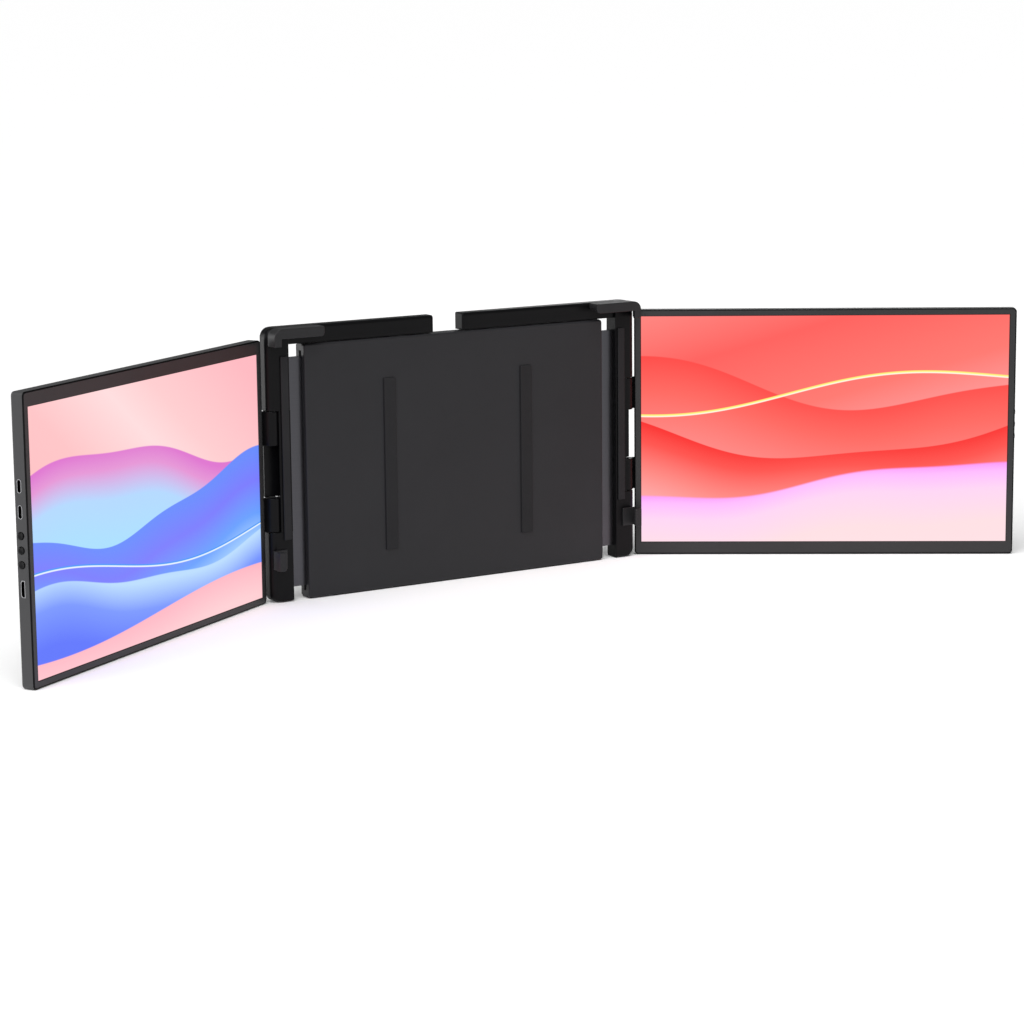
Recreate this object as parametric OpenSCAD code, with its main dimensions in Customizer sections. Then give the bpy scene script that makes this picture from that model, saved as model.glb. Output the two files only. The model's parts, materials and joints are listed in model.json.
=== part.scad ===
// Laptop screen extender: a telescoping bracket that grips a laptop's lid and carries a
// hinged display on each side. Lengths are in millimetres and angles in degrees.
// X runs across the bracket, Y from the viewer to the back, Z up. The origin is the middle
// of the flat base under the centre unit, on the hinge axes' plane.

/* [Displays] */
// Width of the lit area of each display
active_w = 286.5; // [240:0.5:330]
// Height of the lit area of each display
active_h = 179.1; // [165:0.1:182]
// Bezel beside the lit area, at the hinge edge and at the port edge
side_bezel = 5.5; // [5.2:0.1:8]
// Bezel along the narrow end of the panel's height
narrow_bezel = 5.2; // [4.5:0.1:6]
// Bezel along the wide end of the panel's height
wide_bezel = 10.1; // [9:0.1:11]
// Thickness of a display panel
panel_t = 9.8; // [9.6:0.1:11]
// Corner radius of a display panel
panel_corner_r = 3; // [2.5:0.1:5]
// Chamfer round the front edge of the bezel
front_chamfer = 1; // [0.4:0.1:1.1]
// Chamfer round the rear edge of the back shell
rear_chamfer = 0.9; // [0.6:0.1:2]
// Thickness of the front bezel
bezel_t = 1.5; // [1.3:0.1:1.8]
// Thickness of the bezel's lip in front of the glass
bezel_lip = 0.6; // [0.4:0.1:0.8]
// Dark rim of the glass that shows inside the bezel
glass_rim = 0.5; // [0.3:0.1:1]
// Thickness of the glass cell
glass_t = 1.3; // [1:0.1:1.4]
// Thickness of the backlight
backlight_t = 1.3; // [1:0.1:1.4]
// Side wall of the back shell
shell_wall = 1.6; // [1.4:0.1:1.8]
// Floor of the back shell
shell_floor = 1.4; // [1.2:0.1:1.6]

/* [Ports and buttons] */
// From the wide end of the panel to the first charging socket
usb_a_at = 60.9; // [56:0.1:64]
// From the wide end of the panel to the second charging socket
usb_b_at = 77.8; // [75:0.1:80]
// From the wide end of the panel to the first button
button_at = 93.2; // [90:0.1:96]
// Distance from button to button
button_pitch = 9.5; // [8.5:0.1:11]
// From the wide end of the panel to the video socket
video_at = 128.1; // [126:0.1:140]
// Depth of the sockets' and buttons' centre line behind the panel's front
port_depth = 5.7; // [5.6:0.05:5.8]
// Width of a charging socket
usb_w = 9; // [8.6:0.1:9.4]
// Height of a charging socket
usb_h = 3.3; // [3.1:0.1:3.4]
// Width of the video socket
video_w = 11.2; // [10.8:0.1:11.6]
// Height of the video socket
video_h = 3.2; // [3:0.1:3.3]
// Diameter of a button
button_d = 4.6; // [3.6:0.1:5]
// How far a button stands out of the edge
button_proud = 0.7; // [0.6:0.1:1.2]
// How far a button can be pressed
button_travel = 0.5; // [0.3:0.05:0.5]

/* [Display hinges] */
// How far the left display is swung forward of straight out
left_open = 32.1; // [0:0.1:45]
// How far the right display is swung forward of straight out
right_open = 34.9; // [0:0.1:45]
// From the hinge axis out to the panel's edge
hinge_reach = 7.3; // [7.1:0.1:9]
// How far the hinge axis lies in front of the panel's front face
hinge_lead = 2.5; // [2.4:0.1:2.8]
// Height of the panels' middle above the base
panel_at = 97.5; // [97.2:0.1:99]
// Radius of a hinge knuckle
knuckle_r = 6; // [5.6:0.1:6.2]
// Height of a hinge knuckle
knuckle_h = 25; // [18:0.5:28]
// Distance between the middles of the two knuckles
knuckle_pitch = 64; // [54:0.5:72]
// Radius of the hinge pin
pin_r = 2; // [1.6:0.1:2.2]
// Wall of the bush round the hinge pin
bush_wall = 1; // [0.8:0.1:1.2]
// Thickness of the steel leaf inside the panel
leaf_t = 1.4; // [1:0.1:1.6]

/* [Laptop lid] */
// Width of the lid that the bracket holds at rest
lid_w = 318.8; // [305:0.2:335]
// Thickness of the lid
lid_t = 6.4; // [5.4:0.1:7]
// Height of the lid's top edge above the base
lid_top = 197.4; // [197:0.1:204]

/* [Bracket halves] */
// Depth of the bracket's bars from front to back
bar_depth = 13; // [12.8:0.1:14]
// Width of a side bar
side_bar_w = 18; // [17:0.5:22]
// From the hinge axis out to the side bar's outer face
bar_cover = 5.1; // [5.1:0.1:6]
// From the hinge axis out to the lid's side
axis_inset = 2.9; // [2.8:0.1:4]
// Rounding of a side bar's outer edges
bar_edge_r = 5; // [3:0.1:5.2]
// Radius of the bracket's top outer corner
corner_r = 7.5; // [6:0.1:9]
// Radius of a side bar's bottom outer corner
bottom_r = 5.5; // [2:0.1:7]
// Height of the top bars
top_bar_h = 13; // [12:0.1:14]
// Depth of the top bars, which are flush with the side bars at the back
top_bar_depth = 10.7; // [8:0.1:12]
// Bevel of the top bars' front edge
top_bevel = 1.6; // [0.8:0.1:2.5]
// Gap between the two top bars at rest
top_gap = 25.2; // [25:0.2:40]
// How far the gap's middle lies to the right of the origin
gap_shift = -7.2; // [-15:0.2:15]
// Depth of the side bars' spine, which shows between the knuckles
spine_depth = 4.9; // [3:0.1:5.5]
// Thickness of the sliding plates
plate_t = 3; // [2:0.1:3.2]
// From the origin to the inner end of a sliding plate
plate_end = 70; // [68:0.5:80]
// How far the halves can slide in from rest, each
slide_in = 12; // [0:0.5:12]
// How far the halves can slide out from rest, each
slide_out = 25; // [10:0.5:26]

/* [Clips and hooks] */
// Thickness of the lips in front of the lid
lip_t = 2.6; // [1.6:0.1:3]
// Thickness of the clips' side webs
web_t = 0.8; // [0.8:0.1:1.4]
// Height of a corner clip's roof over the lid
clip_roof = 5.5; // [5.2:0.1:7]
// How far a clip's lip reaches down over the lid's front
lip_drop = 1.5; // [0.6:0.1:3]
// Length of a corner clip along the top
clip_arm = 41.2; // [30:0.1:60]
// Height of a corner clip's leg
clip_leg = 13; // [12:0.1:20]
// Width of the lips in front of the lid's side
lip_w = 5.9; // [4:0.1:8]
// Height of a side hook
hook_h = 14; // [12:0.5:18]
// Height of a side hook's middle above the base
hook_at = 32.6; // [22:0.1:38]
// Thickness of the rubber pads behind the lid
pad_t = 1.5; // [1:0.1:2.5]

/* [Centre unit] */
// Width of the centre unit's case
case_w = 262; // [240:1:262]
// Gap under the top bars, and between the case and the base
case_gap = 0.6; // [0.4:0.1:1]
// Wall of the case, front and back
case_wall = 1.8; // [1.5:0.1:2]
// Height of the case's solid top and bottom rims
case_rim = 5; // [4.8:0.1:6]
// Thickness of the rubber strip under the case
base_t = 2; // [1.6:0.1:2.4]
// How far the rubber strip stands below the case
base_proud = 0.8; // [0.4:0.1:1]
// Number of teeth of the synchronising gear
gear_teeth = 16; // [14:2:18]
// Module of the gear and the racks
gear_module = 1; // [0.9:0.05:1.1]
// Height of the gear's centre above the base
gear_at = 162; // [160:0.5:163]
// Thickness of the gear and the racks
rack_t = 2.8; // [2.2:0.1:2.9]

/* [Kickstand] */
// Width of the kickstand
stand_w = 90; // [60:1:96]
// Height of the kickstand's hinge above the base
stand_at = 141; // [120:1:142]
// Thickness of the kickstand
stand_t = 3.2; // [2.6:0.1:3.4]
// Radius of the kickstand's hinge pin
stand_pin_r = 1.2; // [0.9:0.1:1.3]

/* [Hidden] */
$fn = 64;

// Clearances
run_gap = 0.05;      // radial clearance of a pin that turns or is turned on
slip_gap = 0.15;     // clearance of a flat piece that slides, each side
seat_gap = 0.3;      // clearance between neighbours that stay apart
knuckle_gap = 0.4;   // clearance above, below and round a knuckle
eps = 0.01;          // overshoot of a cut through a face

// Panel
panel_w = active_w + 2 * side_bezel;
panel_h = active_h + narrow_bezel + wide_bezel;
floor_y = panel_t - shell_floor;
groove_w = 0.4;
groove_h = 0.3;
glass_margin = 1.5;
glass_x = side_bezel - glass_margin;
active_z = (wide_bezel - narrow_bezel) / 2;
backlight_inset = 0.75;
backlight_y = bezel_lip + glass_t + backlight_t;
rib_t = 1.2;
rib_clear = 15;
wall_inner = panel_w - shell_wall;
post_r = 2;
post_from_end = (shell_wall + wide_bezel - glass_margin) / 2;
post_inset = 20;

// Ports, measured along the panel's height from its middle
usb_z = [for (at = [usb_a_at, usb_b_at]) at - panel_h / 2];
video_z = video_at - panel_h / 2;
button_z = [for (i = [0:2]) button_at + i * button_pitch - panel_h / 2];
port_gap = 0.15;
port_set_back = 0.1;
socket_wall = 0.3;
usb_len = 7.3;
video_len = 8;
board_y = port_depth + usb_h / 2;
board_w = 29;
board_margin = 8;
board_x = wall_inner - 2.4 - board_w;
controller_z = -7;
controller_w = 12;
controller_t = 1.4;
memory_z = 12;
memory_w = 7;
memory_l = 8;
memory_t = 1;
ribbon_z = -32;
ribbon_w = 3;
ribbon_l = 20;
ribbon_t = 1.2;
coil_z = -30;
coil_w = 7;
coil_t = 2.2;
button_hole_r = button_d / 2 + 0.35;
flange_t = 0.8;
flange_h = 3.2;
flange_w = button_d + 2.2;
flange_x = wall_inner - port_set_back - flange_t;
stem_len = 2.4;
switch_gap = button_travel + 0.1;
switch_w = 6;
switch_l = 3.5;
plunger_l = 0.5;

// Hinges
case_room = 0.6;     // clearance between the case's side and a side bar
// Width between the hooks at rest: the lid's, or what a wide case needs
held_w = max(lid_w, case_w + 2 * (case_room + side_bar_w - bar_cover + axis_inset));
axis_x = held_w / 2 - axis_inset;
bush_r = pin_r + run_gap + bush_wall;
knuckle_z = [for (s = [-1, 1]) panel_at + s * knuckle_pitch / 2];
knuckle_cut_r = knuckle_r + knuckle_gap;
pin_grip = 24;
pin_stop = 2;
pin_l = pin_grip + knuckle_gap + knuckle_h - pin_stop - seat_gap;
leaf_x = shell_wall + 0.6;
leaf_w = 18;
leaf_h = knuckle_pitch + knuckle_h + 15;
leaf_y = floor_y - leaf_t;

// Bracket
bar_front = -bar_depth / 2;
bar_back = bar_depth / 2;
bar_outer = axis_x + bar_cover;
bar_inner = bar_outer - side_bar_w;
bracket_h = lid_top + seat_gap + clip_roof;
top_bar_z = bracket_h - top_bar_h;
bar_chamfer = 0.8;
lid_back = bar_front - pad_t;
lip_back = lid_back - lid_t - seat_gap;
lip_front = lip_back - lip_t;
web_inner = held_w / 2 + seat_gap;
clip_outer = web_inner + web_t;
clip_r = 3;
clip_inner = clip_outer - clip_arm;
cap_t = 1.5;
top_front = bar_back - top_bar_depth;
spine_front = bar_back - spine_depth;
left_bar_end = top_gap / 2 - gap_shift;
right_bar_end = top_gap / 2 + gap_shift;
plate_seat = 4.4;
plate_hole_r = 12;
plate_hole_pitch = 40;
web_back_x = axis_x - 7.6;
web_front_x = axis_x - 3.4;
plate_outer = bar_inner + plate_seat;
plate_screw_x = bar_inner + 2.4;
mid_screw_z = 97;

// Centre unit
case_bottom = base_proud;
case_top = top_bar_z - case_gap;
case_half = case_w / 2;
rim_top_z = case_top - case_rim;
rim_bottom_z = case_bottom + case_rim;
case_inner = bar_back - case_wall;
liner_h = 7.7;
liner_slot = 3.8;
plate_bottom = rim_bottom_z + liner_h - liner_slot + seat_gap;
plate_top = rim_top_z - liner_h + liner_slot - seat_gap;
liner_from = plate_end - slide_in + 2;
base_front = bar_front + 1;
base_back = 0.4;
base_half = 110;
lid_pad_x = 60;
lid_pad_w = 10;
lid_pad_end = 30;
pad_sink = 0.8;

// Gear train
pitch_r = gear_module * gear_teeth / 2;
tooth_pitch = PI * gear_module;
pressure = 20;
backlash = 0.06;
rack_back = 4;
rack_y0 = -plate_t / 2 - rack_t;
rack_seat = 14;
rack_tail = 10;
rack_screw_z = gear_at + pitch_r + gear_module * 1.25 + rack_back / 2;
axle_r = 2;
gear_hub_r = 4;
boss_r = 4.5;

// Kickstand, which lies in a pocket in the back cover
pocket_gap = 0.6;
pocket_floor_y = 2;
pocket_wall = 1.2;
stand_back = bar_back - 0.2;
stand_axis_y = 4.3;
stand_barrel_r = 2.1;
stand_foot_h = 4;
stand_foot_z = case_bottom + 0.8;
stand_slot_w = 40;
stand_slot_end = 30;
pocket_half = stand_w / 2 + pocket_gap + 0.8;
washer_t = 0.8;

// Screws
screw_r = 1.2;
screw_head_r = 2.3;
screw_head_h = 1.3;
small_screw_r = 0.9;
small_head_r = 1.8;
small_head_h = 0.7;
rack_head_r = 1.4;
cover_screw_x = [60, case_half - 4];
plate_screw_z = [20, mid_screw_z, 160];
clip_screw_x = [clip_inner + 6, bar_outer - corner_r - 4];
hook_screw_x = axis_x - pin_r - 3.4;
rack_screw_x = [plate_end + 3.5, plate_end + 10.5];

// ---------------------------------------------------------------- shared shapes

// A box between two opposite corners
module box(a, b) {
    translate(a) cube(b - a);
}

// A cylinder along Y between two depths
module rod_y(x, z, r, y0, y1) {
    translate([x, y0, z]) rotate([-90, 0, 0]) cylinder(h = y1 - y0, r = r);
}

// An outline in Y and Z, drawn out along X
module draw_x(x0, x1) {
    translate([x0, 0, 0]) rotate([90, 0, 90]) linear_extrude(x1 - x0) children();
}

// An outline in X and Z, drawn out along Y
module draw_y(y0, y1) {
    translate([0, y1, 0]) rotate([90, 0, 0]) linear_extrude(y1 - y0) children();
}

// A plate from x = 0 and y = 0 with round corners and a chamfer round its front face
module slab(w, h, t, r, c) {
    draw_x(r, w - r)
        polygon([[0, c - h / 2], [c, -h / 2], [t, -h / 2], [t, h / 2], [c, h / 2], [0, h / 2 - c]]);
    linear_extrude(h - 2 * r, center = true)
        polygon([[c, 0], [w - c, 0], [w, c], [w, t], [0, t], [0, c]]);
    for (x = [r, w - r], z = [r - h / 2, h / 2 - r])
        translate([x, 0, z]) rotate([-90, 0, 0]) {
            cylinder(h = c, r1 = r - c, r2 = r);
            translate([0, 0, c]) cylinder(h = t - c, r = r);
        }
}

// A rectangle with the two corners on its +X side rounded
module half_round(x0, x1, half, r) {
    translate([x0, -half]) square([x1 - x0 - r, 2 * half]);
    translate([x0, r - half]) square([x1 - x0, 2 * (half - r)]);
    for (s = [-1, 1]) translate([x1 - r, s * (half - r)]) circle(r);
}

// A slot outline with round ends, its length along the outline's Y
module stadium(w, l) {
    square([w, l - w], center = true);
    for (s = [-1, 1]) translate([0, s * (l - w) / 2]) circle(w / 2);
}

// A screw from behind: its head's top at y1, its tip at y0
module screw(x, z, y0, y1, r, head_r, head_h) {
    difference() {
        union() {
            rod_y(x, z, r, y0, y1);
            rod_y(x, z, head_r, y1 - head_h, y1);
        }
        translate([x, y1 - head_h * 0.6, z]) rotate([-90, 0, 0])
            cylinder(h = head_h, r = r * 0.9, $fn = 6);
    }
}

// The hole for such a screw, with a sunk seat for its head below the face at y2
module screw_hole(x, z, y0, y1, y2, r, head_r, head_h) {
    rod_y(x, z, r, y0, y2);
    rod_y(x, z, head_r + seat_gap / 2, y1 - head_h, y2 + eps);
}

// ---------------------------------------------------------------- placing

// The left half of the bracket mirrors the right half
module on_left() {
    mirror([1, 0, 0]) children();
}

// A panel is drawn with x from its hinge edge, y from its front face and z from its middle
module on_right_panel() {
    translate([axis_x, 0, panel_at]) rotate([0, 0, -right_open])
        translate([hinge_reach, hinge_lead, 0]) children();
}

// The left panel is the same module turned half round in its own plane
module on_left_panel() {
    translate([-axis_x, 0, panel_at]) rotate([0, 0, left_open]) rotate([0, 180, 0])
        translate([hinge_reach, hinge_lead, 0]) children();
}

// ---------------------------------------------------------------- centre unit

// The kickstand's pocket, wider by the given wall and deeper by the given floor
module stand_pocket(wall, deeper) {
    box([-pocket_half - wall, pocket_floor_y - deeper, case_bottom - eps],
        [pocket_half + wall, bar_back + eps, stand_at + stand_barrel_r + pocket_gap + wall]);
}

module centre_front_shell() {
    color([0.10, 0.10, 0.11])
    difference() {
        union() {
            box([-case_half, bar_front, case_bottom], [case_half, bar_front + case_wall, case_top]);
            box([-case_half, bar_front, rim_top_z], [case_half, case_inner, case_top]);
            box([-case_half, bar_front, case_bottom], [case_half, case_inner, rim_bottom_z]);
            for (s = [-1, 1])
                box([s > 0 ? case_half - 2 : -case_half, bar_front, case_bottom],
                    [s > 0 ? case_half : 2 - case_half, -plate_t / 2 - seat_gap, case_top]);
        }
        // Seat of the kickstand's pocket in the bottom rim
        box([-pocket_half - pocket_wall, pocket_floor_y - pocket_wall, case_bottom - eps],
            [pocket_half + pocket_wall, case_inner + eps, rim_bottom_z + eps]);
        // Groove of the base strip
        box([-base_half, base_front, case_bottom - eps], [base_half, base_back, base_t]);
        // Seats of the lid pads
        for (s = [-1, 1]) pad_seat(s);
        // Blind seat of the gear's axle
        rod_y(0, gear_at, axle_r, bar_front + 0.5, 0);
        each_cover_screw() screw_hole(0, 0, -3, case_inner, case_inner, screw_r, screw_r, 0.1);
    }
}

// Runs its child at each screw of the back cover
module each_cover_screw() {
    for (x = cover_screw_x, s = [-1, 1], z = [case_bottom + case_rim / 2, case_top - case_rim / 2])
        translate([s * x, 0, z]) children();
}

module centre_back_cover() {
    color([0.12, 0.12, 0.13])
    difference() {
        union() {
            box([-case_half, case_inner, case_bottom], [case_half, bar_back, case_top]);
            intersection() {
                stand_pocket(pocket_wall, pocket_wall);
                box([-case_half, 0, case_bottom], [case_half, bar_back, case_top]);
            }
            rod_y(0, gear_at, boss_r, rack_y0 + rack_t + 3.2, case_inner + eps);
            for (s = [-1, 1])
                box([s > 0 ? case_half - 2 : -case_half, plate_t / 2 + seat_gap, rim_bottom_z],
                    [s > 0 ? case_half : 2 - case_half, case_inner, rim_top_z]);
        }
        stand_pocket(0, 0);
        rod_y(0, gear_at, axle_r, -5, case_inner + 0.8);
        translate([-pocket_half - pocket_wall - eps, stand_axis_y, stand_at]) rotate([0, 90, 0])
            cylinder(h = 2 * (pocket_half + pocket_wall + eps), r = stand_pin_r);
        each_cover_screw()
            screw_hole(0, 0, -3, bar_back - 0.1, bar_back, screw_r, screw_head_r, screw_head_h);
    }
}

// Recess of one lid pad in the case's front
module pad_seat(side) {
    box([side * lid_pad_x - lid_pad_w / 2, bar_front - eps, lid_pad_end],
        [side * lid_pad_x + lid_pad_w / 2, bar_front + pad_sink, case_top - lid_pad_end]);
}

module lid_pads() {
    color([0.16, 0.16, 0.17])
    for (s = [-1, 1])
        box([s * lid_pad_x - lid_pad_w / 2, lid_back, lid_pad_end],
            [s * lid_pad_x + lid_pad_w / 2, bar_front + pad_sink, case_top - lid_pad_end]);
}

module base_strip() {
    color([0.16, 0.16, 0.17])
    box([-base_half, base_front, 0], [base_half, base_back, base_t]);
}

// Slippery channels along the top and bottom rims, in which the sliding plates run
module slide_liners() {
    color([0.85, 0.85, 0.82])
    for (s = [-1, 1], top = [false, true]) {
        z0 = top ? rim_top_z - liner_h : rim_bottom_z;
        slot_z = top ? z0 : z0 + liner_h - liner_slot;
        x0 = s > 0 ? liner_from : 2 - case_half;
        x1 = s > 0 ? case_half - 2 : -liner_from;
        difference() {
            box([x0, -case_inner, z0], [x1, case_inner, z0 + liner_h]);
            box([x0 - eps, -plate_t / 2 - slip_gap, slot_z - eps],
                [x1 + eps, plate_t / 2 + slip_gap, slot_z + liner_slot + eps]);
        }
    }
}

module gear_axle() {
    color([0.7, 0.7, 0.72])
    rod_y(0, gear_at, axle_r, bar_front + 0.5, case_inner + 0.8);
}

module cover_screws() {
    color([0.25, 0.25, 0.26])
    each_cover_screw()
        screw(0, 0, -3, bar_back - 0.1, screw_r, screw_head_r, screw_head_h);
}

// Involute roll angle in degrees at radius r, past the base circle
function roll(r) =
    let (base_r = pitch_r * cos(pressure), t = sqrt(max(0, pow(r / base_r, 2) - 1)))
    t * 180 / PI - atan(t);
// Half the angle of a tooth at radius r
function half_tooth(r) =
    90 / gear_teeth - backlash / pitch_r * 180 / PI + roll(pitch_r) - roll(r);
function polar(r, a) = r * [cos(a), sin(a)];
gear_tip = pitch_r + 0.9 * gear_module;
gear_root = pitch_r - 1.2 * gear_module;
flank_r = [for (i = [0:4]) pitch_r * cos(pressure) + i / 4 * (gear_tip - pitch_r * cos(pressure))];

// The outline of the gear, with one tooth pointing along the outline's Y
module gear_outline() {
    polygon([
        for (i = [0:gear_teeth - 1])
            let (a = 90 + i * 360 / gear_teeth)
            each concat(
                [polar(gear_root, a - half_tooth(flank_r[0]))],
                [for (r = flank_r) polar(r, a - half_tooth(r))],
                [for (j = [4:-1:0]) polar(flank_r[j], a + half_tooth(flank_r[j]))],
                [polar(gear_root, a + half_tooth(flank_r[0]))]
            )
    ]);
}

module sync_gear() {
    color([0.88, 0.87, 0.82])
    translate([0, 0, gear_at])
    difference() {
        union() {
            draw_y(rack_y0 + slip_gap / 2, rack_y0 + rack_t) gear_outline();
            rod_y(0, 0, gear_hub_r, rack_y0 + 1, rack_y0 + rack_t + 3);
        }
        rod_y(0, 0, axle_r + run_gap, -bar_depth, bar_depth);
    }
}

// ---------------------------------------------------------------- kickstand

// The kickstand's barrels and its pin, along X at the hinge
module stand_rod(x0, x1, r) {
    translate([x0, stand_axis_y, stand_at]) rotate([0, 90, 0]) cylinder(h = x1 - x0, r = r);
}

module kickstand_leg() {
    color([0.14, 0.14, 0.15])
    difference() {
        union() {
            box([-stand_w / 2, stand_back - stand_t, stand_foot_z + stand_foot_h],
                [stand_w / 2, stand_back, stand_at]);
            stand_rod(-stand_w / 2, stand_w / 2, stand_barrel_r);
        }
        stand_rod(-stand_w, stand_w, stand_pin_r + run_gap);
        // Window that lightens the leg
        box([-stand_slot_w / 2, 0, stand_foot_z + stand_slot_end],
            [stand_slot_w / 2, bar_depth, stand_at - stand_slot_end]);
        // Relief between the two barrels
        box([-stand_slot_w / 2, 0, stand_at - stand_barrel_r - 1],
            [stand_slot_w / 2, bar_depth, stand_at + stand_barrel_r + 1]);
    }
}

module kickstand_foot() {
    color([0.16, 0.16, 0.17])
    box([-stand_w / 2 + 2, stand_back - stand_t, stand_foot_z],
        [stand_w / 2 - 2, stand_back, stand_foot_z + stand_foot_h]);
}

module kickstand_pin() {
    color([0.7, 0.7, 0.72])
    stand_rod(-pocket_half - pocket_wall, pocket_half + pocket_wall, stand_pin_r);
}

module kickstand_washers() {
    color([0.75, 0.72, 0.6])
    for (s = [-1, 1])
        difference() {
            stand_rod(s > 0 ? pocket_half - washer_t : -pocket_half,
                      s > 0 ? pocket_half : washer_t - pocket_half, stand_barrel_r - 0.1);
            stand_rod(-stand_w, stand_w, stand_pin_r);
        }
}

// ---------------------------------------------------------------- bracket halves

// Cuts of the two knuckles' rooms out of a side bar's outline
module web_outline() {
    difference() {
        translate([bar_inner, bar_front]) square([axis_x - bar_inner, bar_depth]);
        translate([axis_x, 0]) circle(knuckle_cut_r);
        translate([web_back_x, seat_gap]) square([2 * knuckle_r, bar_depth]);
        translate([web_front_x, -bar_depth]) square([2 * knuckle_r, 2 * bar_depth]);
    }
}

// A side bar's outline drawn up between two heights
module side_bar(z0, z1) {
    translate([0, 0, z0]) linear_extrude(z1 - z0)
        half_round(bar_inner, bar_outer, bar_depth / 2, bar_edge_r);
}

// The bracket's outline seen from the front, with its round outer corners
module front_outline() {
    translate([0, case_bottom])
        square([bar_outer - max(bottom_r, corner_r), bracket_h - case_bottom]);
    translate([0, case_bottom + bottom_r])
        square([bar_outer, bracket_h - case_bottom - bottom_r - corner_r]);
    translate([bar_outer / 2, case_bottom]) square([bar_outer / 2 - bottom_r, bar_outer / 2]);
    translate([bar_outer / 2, bracket_h / 2]) square([bar_outer / 2 - corner_r, bracket_h / 2]);
    translate([bar_outer - bottom_r, case_bottom + bottom_r]) circle(bottom_r);
    translate([bar_outer - corner_r, bracket_h - corner_r]) circle(corner_r);
}

// A bar's outline seen from its end, with its top edges beveled
module bar_section(front, bottom, bevel) {
    polygon([
        [front, bottom], [bar_back, bottom],
        [bar_back, bracket_h - bar_chamfer], [bar_back - bar_chamfer, bracket_h],
        [front + bevel, bracket_h], [front, bracket_h - bevel]
    ]);
}

module bracket_frame(bar_end) {
    low = knuckle_z[0] - knuckle_h / 2 - knuckle_gap;
    mid0 = knuckle_z[0] + knuckle_h / 2 + knuckle_gap;
    mid1 = knuckle_z[1] - knuckle_h / 2 - knuckle_gap;
    high = knuckle_z[1] + knuckle_h / 2 + knuckle_gap;
    color([0.08, 0.08, 0.09])
    difference() {
        union() {
            intersection() {
                union() {
                    side_bar(case_bottom, low);
                    side_bar(high, bracket_h);
                }
                draw_y(bar_front - 1, bar_back + 1) front_outline();
                draw_x(0, bar_outer + 1) bar_section(bar_front, case_bottom, bar_chamfer);
            }
            draw_x(bar_end + cap_t, bar_inner + 1) bar_section(top_front, top_bar_z, top_bevel);
            translate([0, 0, low - eps]) linear_extrude(high - low + 2 * eps) web_outline();
            // Spine behind the gap between the knuckles
            intersection() {
                side_bar(mid0, mid1);
                box([bar_inner, spine_front, mid0], [bar_outer + 1, bar_depth, mid1]);
            }
        }
        for (z = [low - pin_grip, high - eps])
            translate([axis_x, 0, z]) cylinder(h = pin_grip + eps, r = pin_r);
        box([bar_inner - eps, -plate_t / 2, plate_bottom], [plate_outer, plate_t / 2, plate_top]);
        bracket_screw_holes();
    }
}

module bracket_screw_holes() {
    back = bar_back - 0.1;
    for (z = plate_screw_z)
        screw_hole(plate_screw_x, z, -4, back, bar_back, screw_r, screw_head_r, screw_head_h);
    for (x = clip_screw_x)
        screw_hole(x, bracket_h - clip_roof / 2, bar_front - eps, back, bar_back,
                   screw_r, screw_head_r, screw_head_h);
    screw_hole(hook_screw_x, hook_at, bar_front - eps, back, bar_back,
               screw_r, screw_head_r, screw_head_h);
}

module bracket_screws(rack_z) {
    back = bar_back - 0.1;
    color([0.25, 0.25, 0.26]) {
        for (z = plate_screw_z)
            screw(plate_screw_x, z, -4, back, screw_r, screw_head_r, screw_head_h);
        for (x = clip_screw_x)
            screw(x, bracket_h - clip_roof / 2, bar_front - 4, back,
                  screw_r, screw_head_r, screw_head_h);
        screw(hook_screw_x, hook_at, lid_back + 0.1, back, screw_r, screw_head_r, screw_head_h);
        for (x = rack_screw_x) {
            rod_y(x, rack_z, small_screw_r, rack_y0 + 0.1, plate_t / 2 - 0.1);
            rod_y(x, rack_z, rack_head_r, rack_y0 + 0.1, rack_y0 + 0.1 + small_head_h);
        }
    }
}

module slide_plate() {
    color([0.62, 0.63, 0.65])
    difference() {
        box([plate_end, -plate_t / 2, plate_bottom], [plate_outer, plate_t / 2, plate_top]);
        for (z = plate_screw_z) rod_y(plate_screw_x, z, screw_r, -4, 4);
        for (x = rack_screw_x, z = [rack_screw_z, 2 * gear_at - rack_screw_z])
            rod_y(x, z, small_screw_r, -4, 4);
        for (i = [1:3])
            rod_y((plate_end + bar_inner) / 2 - plate_hole_r / 2, i * plate_hole_pitch,
                plate_hole_r, -plate_t, plate_t);
    }
}

// A toothed bar whose teeth point down to z = 0 at the pitch line
module rack_outline() {
    half = tooth_pitch / 4 - backlash;
    tip = 0.9 * gear_module;
    root = 1.25 * gear_module;
    first = floor(-(slide_in + rack_tail) / tooth_pitch);
    last = ceil((slide_out + rack_tail) / tooth_pitch) - 1;
    translate([-plate_end - rack_seat, root])
        square([plate_end + rack_seat + (last + 1) * tooth_pitch, rack_back]);
    for (i = [first:last])
        translate([(i + 0.5) * tooth_pitch, 0])
            polygon([
                [-half - root * tan(pressure), root + eps], [half + root * tan(pressure), root + eps],
                [half - tip * tan(pressure), -tip], [tip * tan(pressure) - half, -tip]
            ]);
}

// The rack drawn for the left half: it lies on its plate and meets the gear from above
module sync_rack() {
    color([0.85, 0.85, 0.82])
    difference() {
        translate([0, 0, gear_at + pitch_r]) draw_y(rack_y0, rack_y0 + rack_t) rack_outline();
        for (x = rack_screw_x) {
            rod_y(-x, rack_screw_z, small_screw_r, rack_y0 - eps, rack_y0 + rack_t + eps);
            rod_y(-x, rack_screw_z, rack_head_r + 0.1, rack_y0 - eps, rack_y0 + 0.1 + small_head_h);
        }
    }
}

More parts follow.
